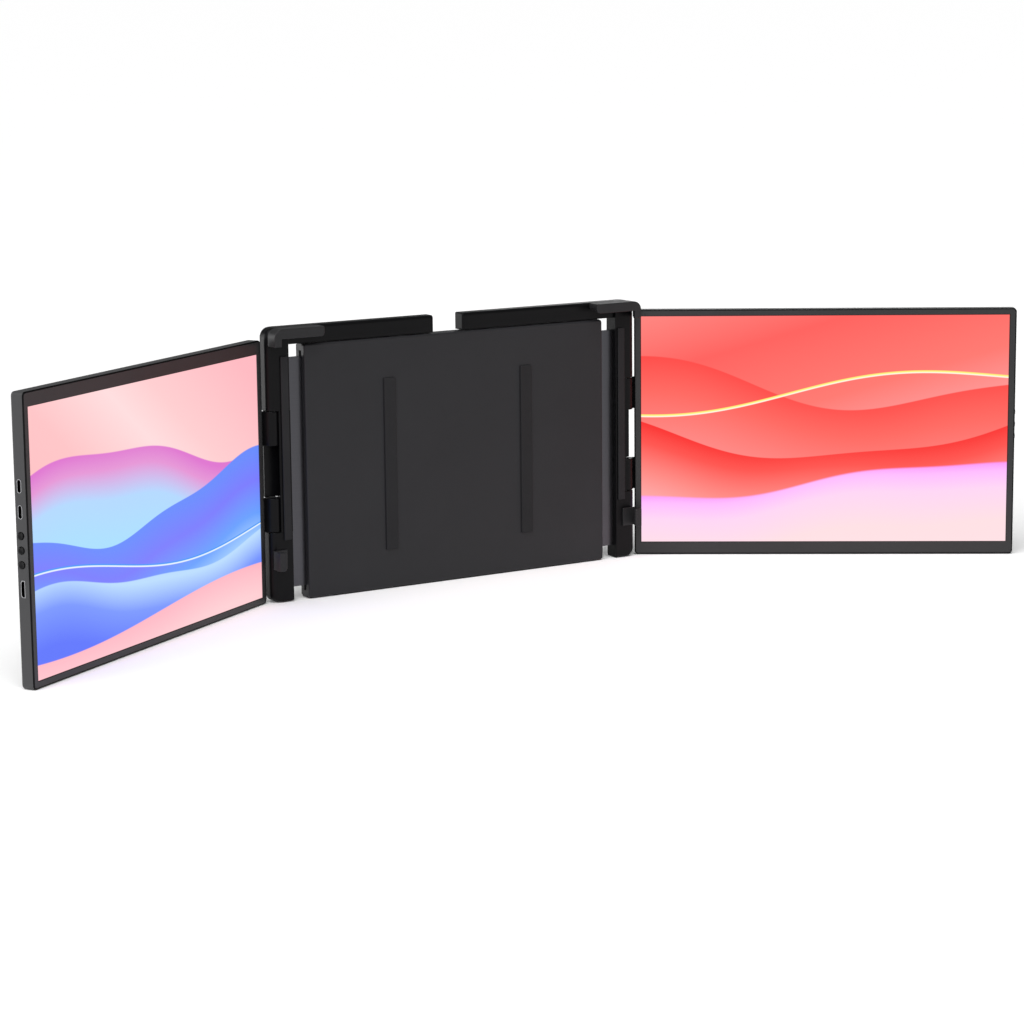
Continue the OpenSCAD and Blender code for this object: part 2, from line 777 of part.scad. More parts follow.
// The front outline of a corner clip: an arm along the lid's top and a leg down its side,
// which end inside at the given place and height
module clip_outline(inner_x, under_z) {
    r = corner_r - bar_outer + clip_outer;
    difference() {
        union() {
            translate([clip_inner, bracket_h - clip_leg]) square([clip_arm - r, clip_leg]);
            translate([clip_outer - lip_w, bracket_h - clip_leg]) square([lip_w, clip_leg - r]);
            translate([clip_outer - r, bracket_h - r]) intersection() {
                circle(r);
                square(r);
            }
        }
        translate([clip_inner - 1, bracket_h - clip_leg - 1])
            square([inner_x - clip_inner + 1, under_z - bracket_h + clip_leg + 1]);
        // Round lower end of the arm
        difference() {
            translate([clip_inner - 1, under_z - 1]) square([clip_r + 1, clip_r + 1]);
            translate([clip_inner + clip_r, under_z + clip_r]) circle(clip_r);
        }
    }
}

module corner_clip() {
    roof_z = lid_top + seat_gap;
    color([0.2, 0.2, 0.21])
    difference() {
        union() {
            // Lip in front of the lid
            draw_y(lip_front, lip_back) clip_outline(clip_outer - lip_w, lid_top - lip_drop);
            // Roof over the lid and web beside it
            draw_y(lip_back - eps, bar_front) clip_outline(web_inner, roof_z);
            // Roof as far as the top bar
            box([clip_inner + clip_r, bar_front - eps, roof_z],
                [bar_inner, top_front, bracket_h]);
        }
        for (x = clip_screw_x)
            rod_y(x, bracket_h - clip_roof / 2, screw_r, bar_front - 4, top_front + eps);
    }
}

module side_hook() {
    z0 = hook_at - hook_h / 2;
    z1 = hook_at + hook_h / 2;
    color([0.2, 0.2, 0.21])
    difference() {
        union() {
            box([clip_outer - lip_w, lip_front, z0], [clip_outer, lip_back, z1]);
            box([web_inner, lip_back - eps, z0], [clip_outer, bar_front, z1]);
            box([plate_outer + 1.2, lid_back, z0], [clip_outer, bar_front, z1]);
        }
        for (up = [-1, 1])
            hook_corner(clip_outer - lip_w, hook_at - up * hook_h / 2, up);
        rod_y(hook_screw_x, hook_at, screw_r, lid_back + 0.1, bar_front + 1);
    }
}

// What a round takes off a corner of the hook's lip; up is the way the lip lies from z
module hook_corner(x, z, up) {
    r = 1.6;
    difference() {
        box([x - eps, lip_front - eps, min(z - up * eps, z + up * r)],
            [x + r, lip_back - eps, max(z - up * eps, z + up * r)]);
        rod_y(x + r, z + up * r, r, lip_front - 1, lip_back + 1);
    }
}

module bar_end_cap(bar_end) {
    color([0.3, 0.3, 0.31])
    draw_x(bar_end, bar_end + cap_t) bar_section(top_front, top_bar_z, top_bevel);
}

module grip_pad() {
    color([0.16, 0.16, 0.17])
    box([bar_inner + 1.5, lid_back, hook_at + 14], [bar_inner + 7.5, bar_front, top_bar_z - 8]);
}

// A pin above and a pin below, each with its end inside a knuckle
module hinge_pins() {
    color([0.7, 0.7, 0.72])
    for (up = [-1, 1])
        translate([axis_x, 0, panel_at + up * (knuckle_pitch / 2 - knuckle_h / 2 + pin_stop + seat_gap)])
            mirror([0, 0, up < 0 ? 1 : 0]) cylinder(h = pin_l, r = pin_r);
}

// ---------------------------------------------------------------- display panels

module front_bezel() {
    color([0.17, 0.17, 0.175])
    difference() {
        union() {
            slab(panel_w, panel_h, bezel_t, panel_corner_r, front_chamfer);
            for (x = [post_inset, panel_w / 2, panel_w - post_inset])
                rod_y(x, post_from_end - panel_h / 2, post_r, bezel_t - 0.5, floor_y);
        }
        // Window with the glass's dark rim
        box([side_bezel - glass_rim, -1, active_z - active_h / 2 - glass_rim],
            [panel_w - side_bezel + glass_rim, panel_t, active_z + active_h / 2 + glass_rim]);
        // Rebate for the glass cell
        box([glass_x - slip_gap, bezel_lip, active_z - active_h / 2 - glass_margin - slip_gap],
            [panel_w - glass_x + slip_gap, panel_t,
             active_z + active_h / 2 + glass_margin + slip_gap]);
        for (x = [post_inset, panel_w / 2, panel_w - post_inset])
            rod_y(x, post_from_end - panel_h / 2, small_screw_r, floor_y - 4, panel_t);
    }
}

module display_glass() {
    color([0.75, 0.45, 0.6])
    box([glass_x, bezel_lip, active_z - active_h / 2 - glass_margin],
        [panel_w - glass_x, bezel_lip + glass_t, active_z + active_h / 2 + glass_margin]);
}

module backlight() {
    edge = glass_margin - backlight_inset;
    color([0.85, 0.86, 0.88])
    box([glass_x + backlight_inset, bezel_lip + glass_t, active_z - active_h / 2 - edge],
        [panel_w - glass_x - backlight_inset, backlight_y, active_z + active_h / 2 + edge]);
}

// The hollow of the back shell
module shell_hollow() {
    box([shell_wall, -1, shell_wall - panel_h / 2],
        [wall_inner, floor_y, panel_h / 2 - shell_wall]);
}

module back_shell() {
    shell_y = bezel_t + groove_h;
    color([0.13, 0.13, 0.135])
    difference() {
        union() {
            difference() {
                union() {
                    translate([0, panel_t, 0]) mirror([0, 1, 0])
                        slab(panel_w, panel_h, panel_t - shell_y, panel_corner_r, rear_chamfer);
                    // Rim that carries the bezel, set in so that a dark line shows
                    box([groove_w, bezel_t, panel_corner_r - panel_h / 2],
                        [panel_w - groove_w, shell_y + eps, panel_h / 2 - panel_corner_r]);
                    box([panel_corner_r, bezel_t, groove_w - panel_h / 2],
                        [panel_w - panel_corner_r, shell_y + eps, panel_h / 2 - groove_w]);
                }
                shell_hollow();
            }
            // Ribs behind the backlight
            for (x = [panel_w / 3, 2 * panel_w / 3])
                box([x - rib_t / 2, backlight_y, rib_clear - panel_h / 2],
                    [x + rib_t / 2, floor_y + eps, panel_h / 2 - rib_clear]);
        }
        // Slots of the hinge arms
        for (s = [-1, 1])
            box([-eps, shell_y, s * knuckle_pitch / 2 - knuckle_h / 2 - seat_gap],
                [shell_wall + eps, floor_y, s * knuckle_pitch / 2 + knuckle_h / 2 + seat_gap]);
        port_holes();
        for (x = [post_inset, panel_w / 2, panel_w - post_inset])
            screw_hole(x, post_from_end - panel_h / 2, floor_y - 1, panel_t - 0.05, panel_t,
                       small_screw_r, small_head_r, small_head_h);
        each_leaf_screw() rod_y(0, 0, small_screw_r, floor_y - eps, panel_t - 0.3);
    }
}

// The holes in the port edge
module port_holes() {
    for (z = usb_z)
        translate([0, port_depth, z]) draw_x(wall_inner - eps, panel_w + eps)
            stadium(usb_h + 2 * port_gap, usb_w + 2 * port_gap);
    translate([0, port_depth, video_z]) draw_x(wall_inner - eps, panel_w + eps)
        video_outline(port_gap);
    for (z = button_z)
        translate([wall_inner - eps, port_depth, z]) rotate([0, 90, 0])
            cylinder(h = shell_wall + 2 * eps, r = button_hole_r);
}

// The video socket's outline, grown on every side by g, in Y and Z
module video_outline(g) {
    y = video_h / 2 + g;
    z = video_w / 2 + g;
    polygon([[-y, -z], [0.6 + g / 2, -z], [y, 1.2 - z], [y, z - 1.2], [0.6 + g / 2, z], [-y, z]]);
}

module usb_c_sockets() {
    mouth = panel_w - port_set_back;
    color([0.75, 0.76, 0.78])
    for (z = usb_z)
        translate([0, port_depth, z]) {
            difference() {
                draw_x(mouth - usb_len, mouth) stadium(usb_h, usb_w);
                draw_x(mouth - usb_len + 1, mouth + eps)
                    stadium(usb_h - 2 * socket_wall, usb_w - 2 * socket_wall);
            }
            box([mouth - usb_len, -0.35, -usb_w / 2 + 1.2], [mouth - 1.2, 0.35, usb_w / 2 - 1.2]);
        }
}

module mini_hdmi_socket() {
    mouth = panel_w - port_set_back;
    color([0.75, 0.76, 0.78])
    translate([0, port_depth, video_z]) {
        difference() {
            draw_x(mouth - video_len, mouth) video_outline(0);
            draw_x(mouth - video_len + 1, mouth + eps) video_outline(-socket_wall);
        }
        box([mouth - video_len, -0.4, -video_w / 2 + 1.6], [mouth - 1.4, 0.4, video_w / 2 - 1.6]);
    }
}

// A part on the driver board, from its distance to the board's inner edge and lowest height
module board_part(x, z, w, l, t) {
    box([board_x + x, board_y - t, z], [board_x + x + w, board_y + eps, z + l]);
}

module driver_board() {
    z0 = usb_z[0] - usb_w / 2 - board_margin;
    z1 = video_z + video_w / 2 + board_margin;
    color([0.05, 0.3, 0.16]) {
        box([board_x, board_y, z0], [board_x + board_w, floor_y, z1]);
        // Display controller, memory and the ribbon connectors
        board_part(5, controller_z, controller_w, controller_w, controller_t);
        board_part(7, memory_z, memory_w, memory_l, memory_t);
        board_part(1, ribbon_z, ribbon_w, ribbon_l, ribbon_t);
        board_part(8, coil_z, coil_w, coil_w, coil_t);
    }
}

// Where the switches' bodies end, so that a pressed button just reaches them
switch_tip = flange_x - stem_len - switch_gap;

module tact_switches() {
    color([0.72, 0.72, 0.74])
    for (z = button_z) {
        box([switch_tip - plunger_l - switch_l, port_depth - 1.5, z - switch_w / 2],
            [switch_tip - plunger_l, board_y, z + switch_w / 2]);
        translate([switch_tip - plunger_l - eps, port_depth, z]) rotate([0, 90, 0])
            cylinder(h = plunger_l + eps, r = 1);
    }
}

// A button: cap, flange that keeps it in, and stem that presses the switch
module button(i) {
    cap_len = panel_w + button_proud - flange_x;
    round_c = 0.4;
    color([0.06, 0.06, 0.065])
    translate([flange_x, port_depth, button_z[i]]) {
        rotate([0, 90, 0]) {
            cylinder(h = cap_len - round_c, r = button_d / 2);
            translate([0, 0, cap_len - round_c])
                cylinder(h = round_c, r1 = button_d / 2, r2 = button_d / 2 - round_c);
            translate([0, 0, -stem_len]) cylinder(h = stem_len + flange_t, r = 1.2);
        }
        box([0, -flange_h / 2, -flange_w / 2], [flange_t, flange_h / 2, flange_w / 2]);
    }
}

// Runs its child at each screw of the hinge leaf
module each_leaf_screw() {
    for (z = [-leaf_h / 2 + 6, -8, 8, leaf_h / 2 - 6], x = [leaf_x + leaf_w - 5])
        translate([x, 0, z]) children();
}

// Steel leaf with two arms that reach out of the panel to the knuckles
module hinge_leaf() {
    axis = [-hinge_reach, -hinge_lead];
    color([0.09, 0.09, 0.1])
    difference() {
        union() {
            box([leaf_x, leaf_y, -leaf_h / 2], [leaf_x + leaf_w, floor_y, leaf_h / 2]);
            for (s = [-1, 1])
                translate([0, 0, s * knuckle_pitch / 2 - knuckle_h / 2])
                    linear_extrude(knuckle_h) {
                        translate(axis) circle(knuckle_r);
                        polygon([
                            axis, axis + polar(knuckle_r - 0.05, 18),
                            [-0.3, bezel_t + 0.4], [shell_wall - 0.1, bezel_t + 0.8],
                            [leaf_x + 0.2, backlight_y + 0.4], [leaf_x + 3, leaf_y + eps],
                            [leaf_x + 3, floor_y], [leaf_x, floor_y], [0, leaf_y - 0.9],
                            axis + [knuckle_r - 0.1, knuckle_r + 0.7], axis + [0, knuckle_r - 0.05]
                        ]);
                    }
        }
        for (up = [-1, 1])
            translate([axis[0], axis[1], up * knuckle_pitch / 2]) mirror([0, 0, up < 0 ? 1 : 0])
                translate([0, 0, pin_stop - knuckle_h / 2]) cylinder(h = knuckle_h, r = bush_r);
        each_leaf_screw() rod_y(0, 0, small_screw_r, 0, panel_t);
    }
}

module hinge_bushes() {
    color([0.8, 0.65, 0.35])
    for (up = [-1, 1])
        translate([-hinge_reach, -hinge_lead, up * knuckle_pitch / 2]) mirror([0, 0, up < 0 ? 1 : 0])
            translate([0, 0, pin_stop - knuckle_h / 2]) difference() {
                cylinder(h = knuckle_h - pin_stop, r = bush_r);
                translate([0, 0, -1]) cylinder(h = knuckle_h + 2, r = pin_r + run_gap);
            }
}

module panel_screws() {
    color([0.25, 0.25, 0.26]) {
        for (x = [post_inset, panel_w / 2, panel_w - post_inset])
            screw(x, post_from_end - panel_h / 2, floor_y - 4, panel_t - 0.05,
                  small_screw_r, small_head_r, small_head_h);
        each_leaf_screw() {
            rod_y(0, 0, small_screw_r, leaf_y - 0.5, panel_t - 0.3);
            rod_y(0, 0, small_head_r, leaf_y - 0.8, leaf_y);
        }
    }
}

// ---------------------------------------------------------------- the two sides

module left_bracket_frame() { on_left() bracket_frame(left_bar_end); }
module left_slide_plate() { on_left() slide_plate(); }
module left_sync_rack() { sync_rack(); }
module left_corner_clip() { on_left() corner_clip(); }
module left_side_hook() { on_left() side_hook(); }
module left_bar_end_cap() { on_left() bar_end_cap(left_bar_end); }
module left_grip_pad() { on_left() grip_pad(); }
module left_hinge_pins() { on_left() hinge_pins(); }
module left_bracket_screws() { on_left() bracket_screws(rack_screw_z); }

module right_bracket_frame() { bracket_frame(right_bar_end); }
module right_slide_plate() { slide_plate(); }
module right_sync_rack() {
    // The same rack turned half round the gear's axle
    translate([0, 0, gear_at]) rotate([0, 180, 0]) translate([0, 0, -gear_at]) sync_rack();
}
module right_corner_clip() { corner_clip(); }
module right_side_hook() { side_hook(); }
module right_bar_end_cap() { bar_end_cap(right_bar_end); }
module right_grip_pad() { grip_pad(); }
module right_hinge_pins() { hinge_pins(); }
module right_bracket_screws() { bracket_screws(2 * gear_at - rack_screw_z); }

module left_back_shell() { on_left_panel() back_shell(); }
module left_front_bezel() { on_left_panel() front_bezel(); }
module left_display_glass() { on_left_panel() display_glass(); }
module left_backlight() { on_left_panel() backlight(); }
module left_driver_board() { on_left_panel() driver_board(); }
module left_usb_c_sockets() { on_left_panel() usb_c_sockets(); }
module left_mini_hdmi_socket() { on_left_panel() mini_hdmi_socket(); }
module left_tact_switches() { on_left_panel() tact_switches(); }
module left_hinge_leaf() { on_left_panel() hinge_leaf(); }
module left_hinge_bushes() { on_left_panel() hinge_bushes(); }
module left_panel_screws() { on_left_panel() panel_screws(); }
module left_power_button() { on_left_panel() button(0); }
module left_plus_button() { on_left_panel() button(1); }
module left_minus_button() { on_left_panel() button(2); }

module right_back_shell() { on_right_panel() back_shell(); }
module right_front_bezel() { on_right_panel() front_bezel(); }
module right_display_glass() { on_right_panel() display_glass(); }
module right_backlight() { on_right_panel() backlight(); }
module right_driver_board() { on_right_panel() driver_board(); }
module right_usb_c_sockets() { on_right_panel() usb_c_sockets(); }
module right_mini_hdmi_socket() { on_right_panel() mini_hdmi_socket(); }
module right_tact_switches() { on_right_panel() tact_switches(); }
module right_hinge_leaf() { on_right_panel() hinge_leaf(); }
module right_hinge_bushes() { on_right_panel() hinge_bushes(); }
module right_panel_screws() { on_right_panel() panel_screws(); }
module right_power_button() { on_right_panel() button(0); }
module right_plus_button() { on_right_panel() button(1); }
module right_minus_button() { on_right_panel() button(2); }

// ---------------------------------------------------------------- nodes

centre_front_shell();
centre_back_cover();
lid_pads();
base_strip();
slide_liners();
gear_axle();
cover_screws();
kickstand_pin();
kickstand_washers();
sync_gear();
kickstand_leg();
kickstand_foot();
left_bracket_frame();
left_slide_plate();
left_sync_rack();
left_corner_clip();
left_side_hook();
left_bar_end_cap();
left_grip_pad();
left_hinge_pins();
left_bracket_screws();
right_bracket_frame();
right_slide_plate();
right_sync_rack();
right_corner_clip();
right_side_hook();
right_bar_end_cap();
right_grip_pad();
right_hinge_pins();
right_bracket_screws();
left_back_shell();
left_front_bezel();
left_display_glass();
left_backlight();
left_driver_board();
left_usb_c_sockets();
left_mini_hdmi_socket();
left_tact_switches();
left_hinge_leaf();
left_hinge_bushes();
left_panel_screws();
right_back_shell();
right_front_bezel();
right_display_glass();
right_backlight();
right_driver_board();
right_usb_c_sockets();
right_mini_hdmi_socket();
right_tact_switches();
right_hinge_leaf();
right_hinge_bushes();
right_panel_screws();
left_power_button();
left_plus_button();
left_minus_button();
right_power_button();
right_plus_button();
right_minus_button();
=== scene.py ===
"""Laptop screen extender: skins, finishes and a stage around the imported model.

Lengths are in metres. A bracket half is drawn with X outward, Y to the back and Z up. A display
is drawn with X outward from its hinge edge, Y from its front to its back and Z along its height.
"""

import json
import math

import bmesh
import bpy
import numpy as np
from bpy.props import FloatProperty, FloatVectorProperty, PointerProperty
from mathutils import Matrix, Vector


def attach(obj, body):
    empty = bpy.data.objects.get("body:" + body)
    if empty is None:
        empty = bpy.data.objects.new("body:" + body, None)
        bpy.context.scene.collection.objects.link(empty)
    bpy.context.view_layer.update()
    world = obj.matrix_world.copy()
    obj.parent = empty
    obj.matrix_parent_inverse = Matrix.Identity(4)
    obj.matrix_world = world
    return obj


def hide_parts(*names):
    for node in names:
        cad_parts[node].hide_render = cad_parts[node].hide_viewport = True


bl_info = {
    "name": "Laptop Screen Extender",
    "version": (1, 0, 0),
    "blender": (4, 5, 0),
    "location": "3D View > Sidebar > Screen Extender",
    "description": "Builds the skins, finishes and stage of a laptop screen extender",
    "category": "Object",
}

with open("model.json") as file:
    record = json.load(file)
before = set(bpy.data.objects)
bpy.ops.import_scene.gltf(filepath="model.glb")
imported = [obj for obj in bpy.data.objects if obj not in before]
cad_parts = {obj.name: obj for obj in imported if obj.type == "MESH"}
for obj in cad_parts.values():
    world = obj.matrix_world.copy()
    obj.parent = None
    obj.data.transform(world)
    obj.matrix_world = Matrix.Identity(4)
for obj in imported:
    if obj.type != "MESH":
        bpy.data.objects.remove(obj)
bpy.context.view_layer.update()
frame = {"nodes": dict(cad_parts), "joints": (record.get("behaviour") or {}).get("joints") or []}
JOINTS = {joint["name"]: joint for joint in frame["joints"]}
SIDES = ("left", "right")
BUTTONS = ("power", "plus", "minus")
MM = 0.001
SHARP = 0.02 * MM           # the least radius of an edge
CREASE = math.radians(32)   # faces that meet at more than this have a sharp edge
PANEL_CORNER = 3 * MM       # radius of a display's corners
CASE_CORNER = 2 * MM        # radius of the centre case's corners
LIP = 2.6 * MM              # thickness of a clip's or hook's lip in front of the lid
LIP_WIDTH = 5.9 * MM        # width of that lip
LID_WALL = 0.8 * MM         # wall of a clip or hook beside the lid
SEAT_RADIUS = 2.45 * MM     # seat of a screw's head in the bars and the back cover
SEAT_DEPTH = 1.4 * MM
PAD_WIDTH = 10 * MM         # width of a rubber pad behind the lid


# ------------------------------------------------------------------ sizes and colours

def length(name, default, description, high=0.05):
    """A length that a user may change."""
    return FloatProperty(name=name, description=description, default=default, min=0.0,
                         max=high, unit="LENGTH", precision=5)


def colour(name, default, description):
    """A colour that a user may change."""
    return FloatVectorProperty(name=name, description=description, default=default, size=3,
                               min=0.0, max=1.0, subtype="COLOR")


def share(name, default, description, high=1.0):
    """A plain number that a user may change."""
    return FloatProperty(name=name, description=description, default=default, min=0.0, max=high)


class ExtenderSizes(bpy.types.PropertyGroup):
    """Sizes of the skins' edges and small forms."""

    side_bar_width: length("Side bar width", 18 * MM, "Width of a side bar")
    bar_edge: length("Side bar front", 5 * MM, "Rounding of a side bar's front outer edge")
    bar_back: length("Side bar back", 3 * MM, "Rounding of a side bar's rear outer edge")
    bar_corner: length("Bar corner", 7.5 * MM, "Radius of the bracket's top outer corner")
    bar_foot: length("Bar foot", 5.5 * MM, "Radius of a side bar's bottom outer corner")
    bar_top: length("Bar top", 1.2 * MM, "Rounding of the bars' top edges")
    bar_front: length("Top bar front", 2.2 * MM, "Rounding of a top bar's front edge")
    cap_edge: length("Cap edge", 0.9 * MM, "Rounding of a top bar's end cap")
    clip_edge: length("Clip edge", 0.6 * MM, "Rounding of a clip's front edge")
    knuckle_height: length("Knuckle height", 25 * MM, "Height of a hinge knuckle")
    knuckle_pitch: length("Knuckle pitch", 64 * MM, "Distance between the knuckles", 0.1)
    knuckle_edge: length("Knuckle edge", 0.5 * MM, "Rounding of a knuckle's ends")
    bezel_edge: length("Bezel edge", 0.1 * MM, "Rounding of a bezel's front edge")
    # the rim round a bezel is coloured near-black: painted shade along the bezel's edge
    rim_width: length("Rim width", 1.0 * MM, "Width of the glossy rim round a bezel")
    bezel_wall: length("Bezel wall", 0.65 * MM, "Depth of a bezel's outer wall")
    shell_edge: length("Shell edge", 1.3 * MM, "Rounding of a display's rear edge")
    case_edge: length("Case edge", 1.4 * MM, "Rounding of the centre case's edges")
    rubber_edge: length("Rubber edge", 0.6 * MM, "Rounding of the rubber pieces")


class ExtenderColours(bpy.types.PropertyGroup):
    """Colours of the finishes."""

    bar: colour("Bars", (0.003, 0.003, 0.0034), "Satin black of the bracket's bars")
    clip: colour("Clips", (0.016, 0.016, 0.017), "Charcoal of the clips and hooks")
    shell: colour("Shells", (0.048, 0.048, 0.050), "Charcoal of the displays' back shells")
    bezel: colour("Bezels", (0.022, 0.022, 0.023), "Dark grey of the displays' bezels")
    case: colour("Case", (0.014, 0.014, 0.016), "Satin black of the centre case")
    button: colour("Buttons", (0.004, 0.004, 0.0044), "Black of the buttons")
    rubber: colour("Rubber", (0.010, 0.010, 0.011), "Black of the rubber pieces")


class ExtenderStage(bpy.types.PropertyGroup):
    """Strength of the lamps and of the surroundings."""

    key_light: share("Key light", 3.55, "Strength of the broad light from the front", 10.0)
    side_lamp: share("Side lamp", 3.0, "Power of the wide soft lamp on the left", 500.0)
    back_lamp: share("Back lamp", 4.0, "Power of the wide soft lamp behind on the right", 500.0)
    edge_lamp: share("Edge lamp", 2.5, "Power of the low soft lamp behind on the left", 500.0)
    room: share("Room", 0.16, "Brightness of the surroundings")
    floor: share("Floor", 0.96, "Lightness of the floor")


def sizes():
    """The sizes as they are set now."""
    return bpy.context.scene.extender_sizes


def colours():
    """The colours as they are set now."""
    return bpy.context.scene.extender_colours


# ------------------------------------------------------------------ where things are

def node_points(node):
    """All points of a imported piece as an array."""
    mesh = frame["nodes"][node].data
    points = np.zeros(len(mesh.vertices) * 3)
    mesh.vertices.foreach_get("co", points)
    return points.reshape(-1, 3)


def bracket_place(side):
    """Origin and axes of a bracket half."""
    return np.zeros(3), np.diag([1.0 if side == "right" else -1.0, 1.0, 1.0])


def centre_place():
    """Origin and axes of the centre unit, which are the model's own."""
    return np.zeros(3), np.eye(3)


def panel_place(side):
    """Origin and axes of a display: the middle of its hinge edge, at its front face. Outward is
    against the way a button is pressed. The left display is the right one turned half round."""
    outward = -np.array(JOINTS[f"{side}_power_press"]["axis"])
    up = np.array([0.0, 0.0, 1.0 if side == "right" else -1.0])
    axes = np.array([outward, np.cross(up, outward), up])
    low, high = local_box(f"{side}_front_bezel", (np.zeros(3), axes))
    return np.array([low[0], low[1], (low[2] + high[2]) / 2]) @ axes, axes


def local_box(node, place):
    """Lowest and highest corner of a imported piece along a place's axes, from its origin."""
    origin, axes = place
    local = (node_points(node) - origin) @ axes.T
    return local.min(0), local.max(0)


# ------------------------------------------------------------------ surfaces

def outline(corners, radii, inset, steps):
    """Closed outline with round corners, in counterclockwise order. Every edge is moved inward by
    the inset. At each corner a circle touches both moved edges; its radius is the corner's own
    less the inset, or plus the inset where the outline turns inward. The point at share t of the
    turn lies on that circle where its normal has turned by t from the first edge's."""
    corners = np.asarray(corners, float)
    inset = np.asarray(inset, float)[..., None]
    edges = np.roll(corners, -1, -2) - corners
    edges /= np.linalg.norm(edges, axis=-1, keepdims=True)
    after = np.stack([-edges[..., 1], edges[..., 0]], -1)
    before = np.roll(after, 1, -2)
    along = (before * after).sum(-1)
    turn = np.arctan2(before[..., 0] * after[..., 1] - before[..., 1] * after[..., 0], along)
    hollow = np.where(turn < 0, -1.0, 1.0)
    radius = np.maximum(np.asarray(radii, float) - hollow * inset, SHARP)
    bisector = (before + after) / (1 + along)[..., None]
    centre = corners + (inset + hollow * radius)[..., None] * bisector
    angle = turn[..., None] * np.linspace(0, 1, steps + 1)
    across = np.stack([-before[..., 1], before[..., 0]], -1)
    normal = (before[..., None, :] * np.cos(angle)[..., None]
              + across[..., None, :] * np.sin(angle)[..., None])
    points = centre[..., None, :] - (hollow * radius)[..., None, None] * normal
    return points.reshape(points.shape[:-3] + (-1, 2))


def rectangle(low, high):
    """The four corners of a rectangle, counterclockwise."""
    (u0, v0), (u1, v1) = low, high
    return np.array([[u0, v0], [u1, v0], [u1, v1], [u0, v1]])


def face(low, high, along="y"):
    """The rectangle that a box shows along an axis."""
    u, v = {"x": (1, 2), "y": (0, 2), "z": (0, 1)}[along]
    return rectangle((low[u], low[v]), (high[u], high[v]))


def both_ends(low, high, width):
    """The two stretches of that width at the ends of a longer one."""
    return (low, low + width), (high - width, high)


def quarter(radius, steps=5):
    """Inset and depth of a quarter round from a wall to a face: with the angle a from 0 to 90
    degrees, the inset is r(1 - cos a) and the depth below the face is r(1 - sin a)."""
    angle = np.linspace(0, math.pi / 2, steps + 1)
    return radius * (1 - np.cos(angle)), radius * (1 - np.sin(angle))


def plate_profile(low, high, low_edge, high_edge, steps=5):
    """Insets and depths of a plate's rings from its low face to its high face."""
    low_inset, low_depth = quarter(max(low_edge, SHARP), steps)
    high_inset, high_depth = quarter(max(high_edge, SHARP), steps)
    return (np.concatenate([low_inset[::-1], high_inset]),
            np.concatenate([low + low_depth[::-1], high - high_depth]))


class Surface:
    """Points and faces of one piece, gathered shell by shell in a place's own axes."""

    # which of a ring's two coordinates and its depth is the place's X, Y and Z
    COLUMNS = {"x": [2, 0, 1], "y": [0, 2, 1], "z": [0, 1, 2]}

    def __init__(self, place):
        self.origin, self.axes = place
        self.points = []
        self.faces = []
        self.count = 0

    def loft(self, rings, depths, along, closed=False):
        """Joins rings of equal point counts. A ring's outline lies across the axis named by along,
        at its depth on it. The ends are closed by a face each, or joined to each other."""
        rings = np.asarray(rings, float)
        depths = np.broadcast_to(np.asarray(depths, float).reshape(-1, 1, 1),
                                 rings.shape[:2] + (1,))
        local = np.concatenate([rings, depths], -1)[..., self.COLUMNS[along]]
        self.points.append((local.reshape(-1, 3) @ self.axes) + self.origin)
        count, size = rings.shape[:2]
        ring = np.arange(count if closed else count - 1)[:, None] * size
        here = np.arange(size)
        following = (ring + size) % (count * size)
        quads = np.stack([ring + here, ring + (here + 1) % size,
                          following + (here + 1) % size, following + here], -1).reshape(-1, 4)
        self.faces += (quads + self.count).tolist()
        if not closed:
            last = (count - 1) * size + self.count
            self.faces.append(list(range(self.count + size - 1, self.count - 1, -1)))
            self.faces.append(list(range(last, last + size)))
        self.count += count * size
        return self

    def plate(self, corners, radii, low, high, low_edge, high_edge, along="y", steps=6):
        """A solid plate with an outline of round corners and a quarter round at each face."""
        insets, depths = plate_profile(low, high, low_edge, high_edge)
        corners = np.asarray(corners, float)[None]
        return self.loft(outline(corners, radii, insets, steps), depths, along)

    def block(self, low, high, edge, along="y"):
        """A plate between two opposite corners, all of whose edges are a quarter round."""
        axis = "xyz".index(along)
        return self.plate(face(low, high, along), edge, low[axis], high[axis], edge, edge,
                          along, 4)

    def turned(self, centre, radii, depths, along, steps=32):
        """A turned piece: at each depth a circle of its radius about the centre."""
        angle = np.linspace(0, 2 * math.pi, steps, endpoint=False)
        circle = np.stack([np.cos(angle), np.sin(angle)], -1)
        rings = np.asarray(radii, float)[:, None, None] * circle + np.asarray(centre, float)
        return self.loft(rings, depths, along)

    def rod(self, centre, radius, ends, along, steps=32):
        """A plain round rod between two depths."""
        return self.turned(centre, [radius] * 2, ends, along, steps)

    def mesh(self, name):
        """The gathered shells as a mesh whose faces point outwards."""
        made = bpy.data.meshes.new(name)
        made.from_pydata(np.concatenate(self.points).tolist(), [], self.faces)
        work = bmesh.new()
        work.from_mesh(made)
        bmesh.ops.recalc_face_normals(work, faces=work.faces)
        work.to_mesh(made)
        work.free()
        return made

    def make(self, name, body, slot, material, replaces=(), cutter=None):
        """Makes the piece, takes the cutter's shells out of it and lets it ride on its body."""
        piece = bpy.data.objects.new(name, self.mesh(name))
        bpy.context.scene.collection.objects.link(piece)
        if cutter is not None and cutter.points:
            carve(piece, cutter)
        piece.data.materials.clear()
        piece.data.materials.append(material)
        piece.data.polygons.foreach_set("use_smooth", [True] * len(piece.data.polygons))
        piece.data.polygons.foreach_set("material_index", [0] * len(piece.data.polygons))
        piece.data.set_sharp_from_angle(angle=CREASE)
        shading = piece.modifiers.new("Even shading", "WEIGHTED_NORMAL")
        shading.keep_sharp = True
        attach(piece, body)
        if replaces:
            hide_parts(*replaces)
        return piece


